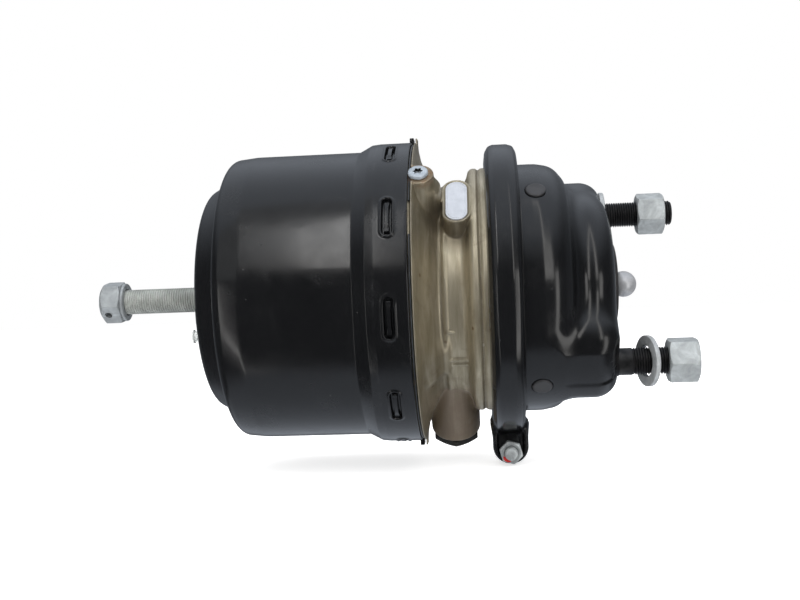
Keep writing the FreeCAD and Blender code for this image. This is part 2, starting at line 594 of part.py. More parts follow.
# ---------------------------------------------------------------- service housing
V, sw = d("sv_r"), d("sv_wall")
dome_out = turned("dome_out", [
    (-61.0, 0.0), (-61.0, LR), (-56.9, LR), (-56.3, LR - 0.6), (-56.3, V + 0.1), (-43.5, V), (-38.0, V - 1.0), (-33.4, V - 3.2), (-29.6, V - 6.2),
    (-26.6, V - 9.8), (-24.2, V - 14.2), (-22.6, 56.5), (-21.6, 50.0), (-21.4, 0.0),
])
dome_in = turned("dome_in", [
    (-62.0, 0.0), (-62.0, V - sw), (-43.8, V - sw), (-39.0, V - sw - 0.9), (-35.0, V - sw - 2.8), (-31.9, V - sw - 5.4),
    (-29.3, V - sw - 8.5), (-27.1, V - sw - 12.4), (-25.6, 55.0), (-24.7, 49.0), (-24.4, 0.0),
])
stud_turn = Rotation(AX, -num("stud_a"))


def lobes(name, half, radius, start, length):
    """Round-ended block along the stud line, trimmed to a circle about the axis."""
    b = block(name + "_block", (length, half * 2.0, 170.0), (0, 0, 0))
    b.Placement = Placement(Vector(start, 0, 0) + stud_turn.multVec(Vector(0, -half.value, -85.0)), stud_turn)
    c = rod(name + "_round", radius, length, (start, 0, 0), (1, 0, 0))
    return common(name, [b, c])


LW, LB = d("lobe_w"), d("lobe_r")
def round_edges(name, base, amount, wanted):
    """Rounds the edges of a piece that a test picks out."""
    doc.recompute()
    f = doc.addObject("Part::Fillet", name)
    f.Base = base
    f.Edges = [(i + 1, amount, amount) for i, ed in enumerate(base.Shape.Edges) if wanted(ed)]
    doc.recompute()
    if f.Shape.isNull() or not f.Shape.isValid():
        raise SystemExit(name + " did not round")
    return f


def along_axis(ed):
    return abs(ed.BoundBox.XLength - 40.0) < 0.01 and ed.BoundBox.YLength < 0.01


def in_face(ed):
    return abs(ed.BoundBox.XMin) < 1e-3 and abs(ed.BoundBox.XMax) < 1e-3


lobe_corners = round_edges("lobe_corners", lobes("lobe_out", LW, LB, -40.0, size(40.0)), num("lobe_round"), along_axis)
lobe_out = round_edges("lobe_rounded", lobe_corners, num("nose_round"), in_face)
disc_blank = rod("nose_disc_out", d("nose_r"), 40.0, (-40.0, 0, 0), (1, 0, 0))
disc_out = round_edges("disc_rounded", disc_blank, num("nose_round"), in_face)
rounded = fused("nose_out", [lobe_out, disc_out])
nose_in = fused("nose_in", [
    lobes("lobe_in", LW - sw, LB - sw, -44.0, size(40.8)),
    rod("nose_disc_in", d("nose_r") - sw - 0.5, 40.8, (-44.0, 0, 0), (1, 0, 0)),
])
outside = fused("service_outside", [dome_out, rounded])
inside = fused("service_inside", [dome_in, nose_in])
shell = cut("service_shell", outside, inside)
opening = rod("boot_opening", d("open_r"), 12.0, (-8.0, 0, 0), (1, 0, 0))
half = num("pcd") / 2
stud_line = stud_turn.multVec(Vector(0, 0, 1))
stud_up, stud_low = stud_line * half, stud_line * -half
holes = [opening]
for k, s in enumerate((stud_up, stud_low)):
    holes.append(rod("stud_hole%d" % k, d("stud_neck") + 0.25, 12.0, (-8.0, s.y, s.z), (1, 0, 0)))
drain_dirs = [radial(42.0), radial(138.0)]
for k, n in enumerate(drain_dirs):
    holes.append(rod("drain_hole%d" % k, 5.0, 20.0, Vector(-45.0, 0, 0) + n * 65.0, n))
keep(cut("service_housing_all", shell, fused("service_holes", holes)), "service_housing")

drains = []
for k, n in enumerate(drain_dirs):
    at = Vector(-45.0, 0, 0)
    drains.append(fused("drain_plug%d" % k, [
        rod("drain_shank%d" % k, 4.8, 5.0, at + n * 71.8, n),
        rod("drain_head%d" % k, 5.9, 1.6, at + n * 76.55, n),
    ]))
keep(group("drain_plugs_all", drains), "drain_plugs")

# ---------------------------------------------------------------- studs, nuts, washers
studs = []
for k, s in enumerate((stud_up, stud_low)):
    studs.append(fused("stud%d" % k, [
        rod("stud_head%d" % k, 11.2, 4.5, (-8.2, s.y, s.z), (1, 0, 0)),
        rod("stud_neck%d" % k, d("stud_neck"), 3.7, (-3.7, s.y, s.z), (1, 0, 0)),
        rod("stud_shank%d" % k, d("stud_r"), 12.5, (0.0, s.y, s.z), (1, 0, 0)),
        rod("stud_thread%d" % k, d("stud_thr"), d("stud_end") - 12.5, (12.5, s.y, s.z), (1, 0, 0)),
    ]))
keep(group("mounting_studs_all", studs), "mounting_studs")
nuts = []
for k, (s, x, a) in enumerate(((stud_up, "nut1_x", 20.0), (stud_low, "nut2_x", 8.0))):
    b = prism("stud_nut_hex%d" % k, lambda sk: hexagon(sk, d("nut_af")), d("nut_t"), "YZ_Plane")
    b.Placement = Placement(Vector(num(x), s.y, s.z), Rotation(AX, a))
    nuts.append(cut("stud_nut%d" % k, b, rod("stud_nut_bore%d" % k, 8.05, 40.0, (num(x) - 5, s.y, s.z), (1, 0, 0))))
keep(group("stud_nuts_all", nuts), "stud_nuts")


def washer(k, middle, turn):
    out = rod("washer_out%d" % k, d("washer_r"), d("washer_t"), (0, 0, 0), (0, 0, 1))
    hole = rod("washer_hole%d" % k, 9.4, 9.0, (0, 0, -3), (0, 0, 1))
    c = cut("washer%d" % k, out, hole)
    n = turn.multVec(Vector(1, 0, 0))
    c.Placement = Placement(middle - n * (num("washer_t") / 2), Rotation(Vector(0, 0, 1), n))
    return c


keep(group("stud_washers_all", [
    washer(0, Vector(0.02 + num("washer_t") / 2, stud_up.y, stud_up.z), Rotation()),
    washer(1, Vector(17.2, stud_low.y, stud_low.z), Rotation(Vector(0, 0, 1), 15.0)),
]), "stud_washers")

# ---------------------------------------------------------------- diaphragm, push rod, boot
keep(turned("diaphragm", [
    (-77.2, 0.0), (-77.2, 57.0), (-71.2, 67.4), (-67.15, 74.2), (-67.15, 83.4), (-61.05, 83.4), (-61.05, 73.8), (-64.0, 73.2),
    (-66.0, 71.4), (-74.3, 56.0), (-74.3, 0.0),
]), "diaphragm")
x0 = -d("plate_x")
keep(turned("push_plate", [
    (x0, 0.0), (x0, d("plate_r") - 1.2), (x0 + 1.2, d("plate_r")), (x0 + 3.6, d("plate_r")), (x0 + 3.6, 49.5), (x0 + 2.6, 48.5),
    (x0 + 2.6, 20.0), (x0 + 4.0, 18.0), (x0 + 4.0, 0.0),
]), "push_plate")
rr = d("rod_r")
stem = turned("push_rod_stem", [
    (x0 + 4.02, 0.0), (x0 + 4.02, 14.0), (x0 + 7.0, 14.0), (x0 + 9.0, rr + 1.0), (-24.0, rr + 1.0), (-23.0, rr), (-1.5, rr),
    (2.0, 6.4), (4.4, 5.8), (d("ball_x"), 5.6), (d("ball_x"), 0.0),
])
ball = doc.addObject("Part::Sphere", "push_rod_ball")
ball.setExpression("Radius", "Dims.rod_r")
ball.Placement = Placement(Vector(num("ball_x"), 0, 0), Rotation())
keep(fused("push_rod_all", [stem, ball]), "push_rod")
keep(turned("rod_collar", [(-22.9, rr + 0.15), (-22.9, 11.6), (-21.0, 11.6), (-21.0, rr + 0.15)]), "rod_collar")

turns = 4.0
rise = -7.5 - num("rs_wire") - (-num("plate_x") + 4.2 + num("rs_wire") - 0.0)
cone = -math.degrees(math.atan2(num("rs_r1") - num("rs_r2"), rise))
keep(coil("return_spring_wire", rise / turns, rise, num("rs_r1"), cone, num("rs_wire"), -num("plate_x") + 4.2 + num("rs_wire")), "return_spring")
keep(turned("boot", [
    (4.8, 23.6), (4.2, 25.4), (1.4, 26.3), (0.1, d("boot_r")), (0.1, d("open_r") - 0.3), (-3.25, d("open_r") - 0.3), (-3.25, 26.8), (-5.0, 26.8),
    (-5.0, 22.2), (-9.0, 20.4), (-14.2, 14.0), (-16.0, 11.8), (-20.8, 11.4), (-20.8, rr + 0.15), (-15.4, rr + 0.15),
    (-13.6, 10.6), (-7.6, 18.2), (-3.0, 20.0), (1.6, 21.0),
]), "boot")
keep(turned("boot_retainer", [(-7.3, 24.0), (-7.3, 33.0), (-5.1, 33.0), (-5.1, 24.0)]), "boot_retainer")

# ---------------------------------------------------------------- test and write
doc.recompute()
bad = [o.Name for o in doc.Objects if "Invalid" in o.State or "Error" in o.State]
if bad:
    raise SystemExit("failed objects: " + ", ".join(bad))
os.makedirs("parts", exist_ok=True)
for name in os.listdir("parts"):
    if name.endswith(".step") and name[:-5] not in NODES:
        os.remove(os.path.join("parts", name))
for name, obj in NODES.items():
    s = obj.Shape
    if s.isNull() or not s.isValid() or not s.Solids:
        raise SystemExit("%s has no valid solid" % name)
    s.exportStep("parts/%s.step" % name)
    print("%-20s %d solid(s) %10.0f mm3  x %.1f to %.1f" % (name, len(s.Solids), s.Volume, s.BoundBox.XMin, s.BoundBox.XMax))
print(len(NODES), "nodes")
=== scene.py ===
import json
import math

import bpy
import numpy as np
from mathutils import Matrix, Vector


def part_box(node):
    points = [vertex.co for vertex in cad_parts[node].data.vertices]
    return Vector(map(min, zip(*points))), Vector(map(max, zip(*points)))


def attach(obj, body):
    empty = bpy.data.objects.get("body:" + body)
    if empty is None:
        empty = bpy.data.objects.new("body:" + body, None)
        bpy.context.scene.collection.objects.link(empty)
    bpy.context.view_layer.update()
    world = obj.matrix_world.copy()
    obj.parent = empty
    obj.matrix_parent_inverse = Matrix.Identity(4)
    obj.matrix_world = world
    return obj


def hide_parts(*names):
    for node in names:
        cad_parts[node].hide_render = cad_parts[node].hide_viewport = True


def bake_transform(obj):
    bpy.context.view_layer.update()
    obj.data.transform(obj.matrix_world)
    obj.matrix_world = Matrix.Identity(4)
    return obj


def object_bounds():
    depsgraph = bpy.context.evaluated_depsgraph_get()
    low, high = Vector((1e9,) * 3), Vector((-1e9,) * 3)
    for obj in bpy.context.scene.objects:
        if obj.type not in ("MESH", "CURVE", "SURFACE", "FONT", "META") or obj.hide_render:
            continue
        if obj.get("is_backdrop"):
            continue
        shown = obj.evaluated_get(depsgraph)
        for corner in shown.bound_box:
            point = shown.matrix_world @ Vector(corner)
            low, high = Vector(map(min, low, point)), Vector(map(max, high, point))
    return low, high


# Spring-brake chamber. All shapes are worked out in millimetres in the CAD frame
# (+X along the push rod, +Z up) and written to meshes in metres.

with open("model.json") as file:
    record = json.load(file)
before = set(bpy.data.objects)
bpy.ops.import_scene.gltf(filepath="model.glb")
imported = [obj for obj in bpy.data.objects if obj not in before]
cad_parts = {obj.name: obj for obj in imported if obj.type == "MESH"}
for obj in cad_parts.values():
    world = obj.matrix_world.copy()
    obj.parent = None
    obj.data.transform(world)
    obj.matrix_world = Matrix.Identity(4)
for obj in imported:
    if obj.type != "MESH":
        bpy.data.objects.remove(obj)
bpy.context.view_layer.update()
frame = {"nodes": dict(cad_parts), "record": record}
MM = 0.001
TAU = 2 * math.pi
rng = np.random.default_rng(7)


# ------------------------------------------------------------------ mesh tools
def mesh_of(name, v, faces):
    me = bpy.data.meshes.new(name)
    v = np.asarray(v, np.float64) * MM
    me.vertices.add(len(v))
    me.vertices.foreach_set("co", v.astype(np.float32).ravel())
    loops = np.concatenate([np.asarray(q, np.int32).ravel() for q in faces])
    totals = np.concatenate([np.full(len(q), np.asarray(q).shape[1], np.int32) for q in faces])
    starts = np.concatenate([[0], np.cumsum(totals)[:-1]]).astype(np.int32)
    me.loops.add(len(loops))
    me.loops.foreach_set("vertex_index", loops)
    me.polygons.add(len(totals))
    me.polygons.foreach_set("loop_start", starts)
    me.update(calc_edges=True)
    me.validate()
    return me


def tidy(v, faces):
    """Quads with two corners at one place become triangles."""
    out3, out4 = [], []
    for q in faces:
        q = np.asarray(q)
        if q.shape[1] == 3:
            ok = (q[:, 0] != q[:, 1]) & (q[:, 1] != q[:, 2]) & (q[:, 0] != q[:, 2])
            out3.append(q[ok])
            continue
        a, b, c, d = q.T
        same = [(a == b), (b == c), (c == d), (d == a)]
        n = sum(s.astype(int) for s in same)
        out4.append(q[n == 0])
        for s, keep in zip(same, ((1, 2, 3), (0, 1, 3), (0, 1, 2), (0, 1, 2))):
            out3.append(q[(n == 1) & s][:, keep])
    res = []
    if sum(map(len, out4)):
        res.append(np.concatenate(out4))
    if sum(map(len, out3)):
        res.append(np.concatenate(out3))
    return v, res


def join(*pieces):
    vs, fs, n = [], [], 0
    for v, faces in pieces:
        vs.append(np.asarray(v, float))
        fs += [np.asarray(q) + n for q in faces]
        n += len(v)
    return np.concatenate(vs), fs


def net(nu, nv, wrap_u=False, wrap_v=False):
    i, j = np.arange(nu if wrap_u else nu - 1), np.arange(nv if wrap_v else nv - 1)
    i, j = np.meshgrid(i, j, indexing="ij")
    a, b = i * nv + j, ((i + 1) % nu) * nv + j
    c, d = ((i + 1) % nu) * nv + (j + 1) % nv, i * nv + (j + 1) % nv
    return np.stack([a, b, c, d], -1).reshape(-1, 4)


def rounded(points, closed=True, seg=6):
    """Outline of (x, r) or (x, r, radius of the corner) with its corners rounded."""
    out, n = [], len(points)
    for i, q in enumerate(points):
        p = np.array(q[:2], float)
        rad = q[2] if len(q) > 2 else 0.0
        if rad <= 0 or (not closed and i in (0, n - 1)):
            out.append(p)
            continue
        u = np.array(points[i - 1][:2], float) - p
        w = np.array(points[(i + 1) % n][:2], float) - p
        lu, lw = np.linalg.norm(u), np.linalg.norm(w)
        u, w = u / lu, w / lw
        half = math.acos(float(np.clip(u @ w, -1, 1))) / 2
        if half > math.pi / 2 - 0.01:
            out.append(p)
            continue
        t = min(rad / math.tan(half), 0.48 * lu, 0.48 * lw)
        rr = t * math.tan(half)
        mid = (u + w) / np.linalg.norm(u + w)
        c = p + mid * (rr / math.sin(half))
        a0 = math.atan2(*(p + u * t - c)[::-1])
        a1 = math.atan2(*(p + w * t - c)[::-1])
        turn = (a1 - a0 + math.pi) % TAU - math.pi
        for k in range(seg + 1):
            a = a0 + turn * k / seg
            out.append(c + rr * np.array([math.cos(a), math.sin(a)]))
    return np.array(out)


def finer(p, step, closed=True):
    """The outline with no run longer than step."""
    q = []
    m = len(p)
    for i in range(m if closed else m - 1):
        a, b = p[i], p[(i + 1) % m]
        k = max(1, int(math.ceil(np.linalg.norm(b - a) / step)))
        for t in range(k):
            q.append(a + (b - a) * t / k)
    if not closed:
        q.append(p[-1])
    return np.array(q)


def lathe(points, n=192, closed=True, shape=None):
    """Turned about X. shape(theta, x, r) may move the points: it returns new x and r."""
    p = np.asarray(points, float)
    if closed:
        x, r = p[:, 0], p[:, 1]
        if np.sum(x * np.roll(r, -1) - np.roll(x, -1) * r) < 0:
            p = p[::-1]
    th = np.arange(n) * TAU / n
    x, r = np.repeat(p[:, :1], n, 1), np.repeat(p[:, 1:2], n, 1)
    if shape is not None:
        x, r = shape(np.repeat(th[None], len(p), 0), x, r)
    v = np.stack([x, -r * np.sin(th), r * np.cos(th)], -1).reshape(-1, 3)
    f = net(len(p), n, closed, True)
    ids = np.arange(len(p) * n).reshape(len(p), n)
    for i in range(len(p)):
        if p[i, 1] < 1e-6:
            ids[i] = ids[i, 0]
    return tidy(v, [ids.ravel()[f]])


def aim(piece, at, way, spin=0.0):
    """Takes a piece made along +X to a point, its +X along way."""
    v, f = piece
    w = np.asarray(way, float) / np.linalg.norm(way)
    helper = np.array([1.0, 0, 0]) if abs(w[0]) < 0.9 else np.array([0, 0, 1.0])
    b = np.cross(w, helper)
    b /= np.linalg.norm(b)
    c = np.cross(w, b)
    cs, sn = math.cos(spin), math.sin(spin)
    e1, e2 = cs * b + sn * c, -sn * b + cs * c
    return v[:, :1] * w + v[:, 1:2] * e1 + v[:, 2:3] * e2 + np.asarray(at, float), f


def moved(piece, by):
    return piece[0] + np.asarray(by, float), piece[1]


def about_x(piece, deg):
    a = math.radians(deg)
    v = piece[0].copy()
    y, z = v[:, 1].copy(), v[:, 2].copy()
    v[:, 1], v[:, 2] = y * math.cos(a) - z * math.sin(a), y * math.sin(a) + z * math.cos(a)
    return v, piece[1]


def thread(x0, x1, r, pitch, n=72, k=8, start=None, end=None, cap0=False, cap1=True, tip=1.3):
    """A cut thread between x0 and x1 along X: crests at r, with lead chamfers where an end is capped."""
    depth = 0.58 * pitch
    rows = int(math.ceil((x1 - x0) / pitch * k)) + k + 1
    th = np.arange(n) * TAU / n
    i = np.arange(rows)[:, None]
    x = x0 - pitch + i * pitch / k + pitch * th[None] / TAU
    t = (i % k) / k + 0 * th[None]
    tri = np.abs(2 * t - 1)
    prof = np.clip((tri - 0.18) / 0.64, 0, 1)
    prof = prof * prof * (3 - 2 * prof) * 0.35 + prof * 0.65
    rad = r - depth * (1 - prof)
    lead = np.clip((x - x0) / (pitch * 1.2), 0, 1)
    if not cap0:
        rad = rad * lead + (start if start else r) * (1 - lead)
    else:
        rad = np.minimum(rad, r - tip + np.clip(x - x0, 0, 9) * 1.0)
    if cap1:
        rad = np.minimum(rad, r - tip + np.clip(x1 - x, 0, 9) * 1.0)
    xc = np.clip(x, x0, x1)
    if not cap0:
        rad = np.where(x < x0, start if start else r, rad)
    if end and not cap1:
        tail = np.clip((x1 - x) / (pitch * 1.2), 0, 1)
        rad = rad * tail + end * (1 - tail)
    v = np.stack([xc, -rad * np.sin(th), rad * np.cos(th)], -1).reshape(-1, 3)
    a = np.arange(rows * n).reshape(rows, n)
    nxt = np.roll(a, -1, 1).copy()
    faces = []
    q = np.stack([a[:-1, :-1], a[:-1, 1:], a[1:, 1:], a[1:, :-1]], -1).reshape(-1, 4)
    faces.append(q)
    s = np.stack([a[:-1 - k, -1], a[k:-1, 0], a[k + 1:, 0], a[1:-k, -1]], -1).reshape(-1, 4)
    faces.append(s)
    pieces = [tidy(v, faces)]
    for on, xx, sign in ((cap0, x0, -1), (cap1, x1, 1)):
        if on:
            ring = np.stack([np.full(n, xx), -(r - tip) * np.sin(th), (r - tip) * np.cos(th)], -1)
            inner = np.stack([np.full(n, xx + sign * 0.25), -(r - tip - 0.9) * np.sin(th), (r - tip - 0.9) * np.cos(th)], -1)
            vv = np.concatenate([ring, inner, [[xx + sign * 0.25, 0, 0]]])
            j = np.arange(n)
            k2 = (j + 1) % n
            qq = np.stack([j, k2, n + k2, n + j], -1)
            tt = np.stack([n + j, n + k2, np.full(n, 2 * n)], -1)
            if sign > 0:
                pieces.append((vv, [qq, tt]))
            else:
                pieces.append((vv, [qq[:, ::-1], tt[:, ::-1]]))
    return join(*pieces)


def hexa(af, length, face0, face1, bore=0.0, tan0=0.577, tan1=0.577, cap=0.12, n=240, edge=0.7):
    """A chamfered hexagon from x 0 to length, with an optional bore."""
    th = np.arange(n) * TAU / n
    s = (th + math.pi / 6) % (math.pi / 3) - math.pi / 6
    h = af / 2 / np.cos(s)
    h = np.minimum(h, af / 2 / math.cos(math.pi / 6) - cap)
    one = np.ones(n)
    rows = []
    mid0, mid1 = (h - face0) * tan0, length - (h - face1) * tan1
    inner = bore + edge if bore else 0.0
    rows.append((0 * one, inner * one))
    if not bore:
        rows.append((0 * one, face0 * 0.5 * one))
    rows += [(0 * one, (face0 - 0.25) * one), (0.08 * one, face0 * one)]
    rows += [(mid0 * 0.9, h - (h - face0) * 0.1), (mid0 + 0.02 * length, h)]
    rows += [(mid1 - 0.02 * length, h), (length - (length - mid1) * 0.9, h - (h - face1) * 0.1)]
    rows += [((length - 0.08) * one, face1 * one), (length * one, (face1 - 0.25) * one)]
    if not bore:
        rows.append((length * one, face1 * 0.5 * one))
    rows.append((length * one, inner * one))
    if bore:
        rows += [((length - edge) * one, bore * one), (edge * one, bore * one)]
    rows = rows[::-1]
    x = np.array([a for a, _ in rows])
    r = np.array([b for _, b in rows])
    v = np.stack([x, -r * np.sin(th), r * np.cos(th)], -1).reshape(-1, 3)
    ids = np.arange(len(rows) * n).reshape(len(rows), n)
    if not bore:
        ids[0], ids[-1] = ids[0, 0], ids[-1, 0]
    f = ids.ravel()[net(len(rows), n, bool(bore), True)]
    return tidy(v, [f])


def tube(path, radius, n=20, closed=False, caps=True):
    """A round wire along a path of points."""
    p = np.asarray(path, float)
    t = np.gradient(p, axis=0) if not closed else np.roll(p, -1, 0) - np.roll(p, 1, 0)
    t /= np.linalg.norm(t, axis=1)[:, None]
    nrm = np.zeros_like(p)
    a = np.array([1.0, 0, 0]) if abs(t[0][0]) < 0.9 else np.array([0, 0, 1.0])
    a = a - t[0] * (a @ t[0])
    nrm[0] = a / np.linalg.norm(a)
    for i in range(1, len(p)):
        a = nrm[i - 1] - t[i] * (nrm[i - 1] @ t[i])
        nrm[i] = a / np.linalg.norm(a)
    b = np.cross(t, nrm)
    th = np.arange(n) * TAU / n
    rad = np.broadcast_to(np.asarray(radius, float), (len(p),))[:, None, None]
    v = p[:, None] + rad * (nrm[:, None] * np.cos(th)[None, :, None] + b[:, None] * np.sin(th)[None, :, None])
    faces = [net(len(p), n, closed, True)[:, ::-1]]
    v = v.reshape(-1, 3)
    if caps and not closed:
        m = len(v)
        v = np.concatenate([v, [p[0], p[-1]]])
        j = np.arange(n)
        k = (j + 1) % n
        faces.append(np.stack([k, j, np.full(n, m)], -1)[:, ::-1])
        faces.append(np.stack([m - n + j, m - n + k, np.full(n, m + 1)], -1)[:, ::-1])
    return v, faces


def make(name, piece, mat, body=None, hides=(), angle=30.0, normals=None):
    v, faces = piece
    me = mesh_of(name, v, faces)
    me.shade_smooth()
    if normals is None and angle < 180:
        me.set_sharp_from_angle(angle=math.radians(angle))
    if normals is not None:
        me.normals_split_custom_set_from_vertices(normals.astype(np.float32))
    for m in mat if isinstance(mat, (list, tuple)) else [mat]:
        me.materials.append(m)
    ob = bpy.data.objects.new(name, me)
    bpy.context.scene.collection.objects.link(ob)
    if body:
        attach(ob, body)
    if hides:
        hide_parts(*hides)
    return ob


def fix_normals(ob):
    import bmesh

    bm = bmesh.new()
    bm.from_mesh(ob.data)
    bmesh.ops.recalc_face_normals(bm, faces=bm.faces)
    bm.to_mesh(ob.data)
    bm.free()


# ------------------------------------------------------------------ distance fields
def poly_distance(poly, x, r):
    """Signed distance to a closed outline (negative inside) at points."""
    p = np.asarray(poly, float)
    best = np.full(x.shape, 1e9)
    inside = np.zeros(x.shape, bool)
    for i in range(len(p)):
        (ax, ar), (bx, br) = p[i], p[(i + 1) % len(p)]
        ex, er = bx - ax, br - ar
        wx, wr = x - ax, r - ar
        t = np.clip((wx * ex + wr * er) / (ex * ex + er * er + 1e-12), 0, 1)
        best = np.minimum(best, (wx - ex * t) ** 2 + (wr - er * t) ** 2)
        cross = ((ar > r) != (br > r)) & (x < (bx - ax) * (r - ar) / (br - ar + 1e-12) + ax)
        inside ^= cross
    best = np.sqrt(best)
    return np.where(inside, -best, best)


def smin(a, b, k):
    h = np.maximum(k - np.abs(a - b), 0) / k
    return np.minimum(a, b) - h * h * k * 0.25


def smax(a, b, k):
    return -smin(-a, -b, k)


COARSE = 1.0


class Field:
    def __init__(self, lo, hi, h):
        h = h * COARSE
        self.lo, self.h = np.array(lo, float), h
        n = [int(math.ceil((b - a) / h)) + 1 for a, b in zip(lo, hi)]
        self.x, self.y, self.z = (self.lo[i] + np.arange(n[i]) * h for i in range(3))
        self.X = self.x[:, None, None].astype(np.float32)
        self.Y = self.y[None, :, None].astype(np.float32)
        self.Z = self.z[None, None, :].astype(np.float32)
        self.R = np.sqrt(self.Y[0] ** 2 + self.Z[0] ** 2)

    def turned(self, poly, fine=0.25, blur=0.0):
        """Distance to a turned piece with this half section."""
        rmax = float(self.R.max()) + 1
        rg = np.arange(0, rmax + fine, fine)
        xs = self.x
        d = poly_distance(poly, np.repeat(xs[:, None], len(rg), 1), np.repeat(rg[None], len(xs), 0))
        if blur:
            for axis, step in ((0, self.h), (1, fine)):
                m = int(math.ceil(3 * blur / step))
                w = np.exp(-0.5 * (np.arange(-m, m + 1) * step / blur) ** 2)
                w /= w.sum()
                pad = [(0, 0), (0, 0)]
                pad[axis] = (m, m)
                e = np.pad(d, pad, mode="edge")
                acc = 0
                for s in range(2 * m + 1):
                    acc = acc + w[s] * (e[s:s + d.shape[0]] if axis == 0 else e[:, s:s + d.shape[1]])
                d = acc
        out = np.empty((len(xs),) + self.R.shape, np.float32)
        pos = self.R / fine
        i0 = np.clip(pos.astype(int), 0, len(rg) - 2)
        w = (pos - i0).astype(np.float32)
        for i in range(len(xs)):
            row = d[i].astype(np.float32)
            out[i] = row[i0] * (1 - w) + row[i0 + 1] * w
        return out

    def rod(self, at, way, radius, length, edge=0.0):
        """Distance to a cylinder that starts at a point and runs along way, its edges rounded."""
        w = np.asarray(way, float) / np.linalg.norm(way)
        qx, qy, qz = self.X - at[0], self.Y - at[1], self.Z - at[2]
        along = qx * w[0] + qy * w[1] + qz * w[2]
        rad = np.sqrt(np.maximum(qx * qx + qy * qy + qz * qz - along * along, 0))
        a = rad - radius + edge
        b = np.abs(along - length / 2) - length / 2 + edge
        return np.minimum(np.maximum(a, b), 0) + np.sqrt(np.maximum(a, 0) ** 2 + np.maximum(b, 0) ** 2) - edge

    def box(self, at, ex, ey, ez, half, edge=0.0):
        """Distance to a box about a point, with its own three axes."""
        qx, qy, qz = self.X - at[0], self.Y - at[1], self.Z - at[2]
        d = []
        for e, s in zip((ex, ey, ez), half):
            d.append(np.abs(qx * e[0] + qy * e[1] + qz * e[2]) - s + edge)
        out = np.sqrt(sum(np.maximum(a, 0) ** 2 for a in d)) - edge
        return out + np.minimum(np.maximum(np.maximum(d[0], d[1]), d[2]), 0)

    def stadium(self, at, ex, ey, ez, half_w, half_l, half_t, edge=0.0):
        """A round-ended plate: half_w along ex, half_l along ey, half_t along ez."""
        qx, qy, qz = self.X - at[0], self.Y - at[1], self.Z - at[2]
        u = qx * ex[0] + qy * ex[1] + qz * ex[2]
        w = qx * ey[0] + qy * ey[1] + qz * ey[2]
        t = qx * ez[0] + qy * ez[1] + qz * ez[2]
        w = np.maximum(np.abs(w) - (half_l - half_w), 0)
        a = np.sqrt(u * u + w * w) - half_w + edge
        b = np.abs(t) - half_t + edge
        return np.minimum(np.maximum(a, b), 0) + np.sqrt(np.maximum(a, 0) ** 2 + np.maximum(b, 0) ** 2) - edge

    def sample(self, F, p):
        q = (p - self.lo) / self.h
        n = np.array(F.shape)
        q = np.clip(q, 0, n - 1.001)
        i = q.astype(int)
        w = q - i
        out = 0
        for dx in (0, 1):
            for dy in (0, 1):
                for dz in (0, 1):
                    ww = (w[:, 0] if dx else 1 - w[:, 0]) * (w[:, 1] if dy else 1 - w[:, 1]) * (w[:, 2] if dz else 1 - w[:, 2])
                    out = out + ww * F[i[:, 0] + dx, i[:, 1] + dy, i[:, 2] + dz]
        return out

    def slope(self, F, p, e):
        g = np.empty_like(p)
        for a in range(3):
            s = np.zeros(3)
            s[a] = e
            g[:, a] = self.sample(F, p + s) - self.sample(F, p - s)
        return g / (2 * e)

    def surface(self, F, rounds=2):
        """Surface-nets mesh of F = 0, with normals from the field's slope."""
        s = F < 0
        c = np.zeros(tuple(n - 1 for n in F.shape), np.uint8)
        for dx in (0, 1):
            for dy in (0, 1):
                for dz in (0, 1):
                    c += s[dx:F.shape[0] - 1 + dx, dy:F.shape[1] - 1 + dy, dz:F.shape[2] - 1 + dz]
        cell = np.argwhere((c > 0) & (c < 8))
        ids = np.full(c.shape, -1, np.int32)
        ids[cell[:, 0], cell[:, 1], cell[:, 2]] = np.arange(len(cell), dtype=np.int32)
        val = {}
        for dx in (0, 1):
            for dy in (0, 1):
                for dz in (0, 1):
                    val[dx, dy, dz] = F[cell[:, 0] + dx, cell[:, 1] + dy, cell[:, 2] + dz].astype(float)
        acc, cnt = np.zeros((len(cell), 3)), np.zeros(len(cell))
        for a in range(3):
            for u in (0, 1):
                for w in (0, 1):
                    k0 = [0, 0, 0]
                    o = [b for b in range(3) if b != a]
                    k0[o[0]], k0[o[1]] = u, w
                    k1 = list(k0)
                    k1[a] = 1
                    f0, f1 = val[tuple(k0)], val[tuple(k1)]
                    m = (f0 < 0) != (f1 < 0)
                    t = np.where(m, f0 / np.where(m, f0 - f1, 1), 0)
                    pos = np.repeat(np.array(k0, float)[None], len(cell), 0)
                    pos[:, a] = t
                    acc += pos * m[:, None]
                    cnt += m
        v = self.lo + (cell + acc / cnt[:, None]) * self.h
        quads = []
        for a in range(3):
            o = [b for b in range(3) if b != a]
            lo = [slice(None)] * 3
            hi = [slice(None)] * 3
            lo[a], hi[a] = slice(0, -1), slice(1, None)
            m = s[tuple(lo)] != s[tuple(hi)]
            e = np.argwhere(m)
            ok = (e[:, o[0]] > 0) & (e[:, o[1]] > 0) & (e[:, o[0]] < c.shape[o[0]]) & (e[:, o[1]] < c.shape[o[1]])
            e = e[ok]
            inside_first = s[tuple(lo)][e[:, 0], e[:, 1], e[:, 2]]
            cs = []
            for du, dw in ((1, 1), (0, 1), (0, 0), (1, 0)):
                k = e.copy()
                k[:, o[0]] -= du
                k[:, o[1]] -= dw
                cs.append(ids[k[:, 0], k[:, 1], k[:, 2]])
            q = np.stack(cs, -1)
            flip = inside_first if a != 1 else ~inside_first
            q[~flip] = q[~flip][:, ::-1]
            quads.append(q)
        q = np.concatenate(quads)
        q = q[(q >= 0).all(1)]
        for _ in range(rounds):
            f = self.sample(F, v)
            g = self.slope(F, v, self.h * 0.5)
            g2 = np.maximum((g * g).sum(1), 0.2)
            step = np.clip(f / g2, -self.h, self.h)
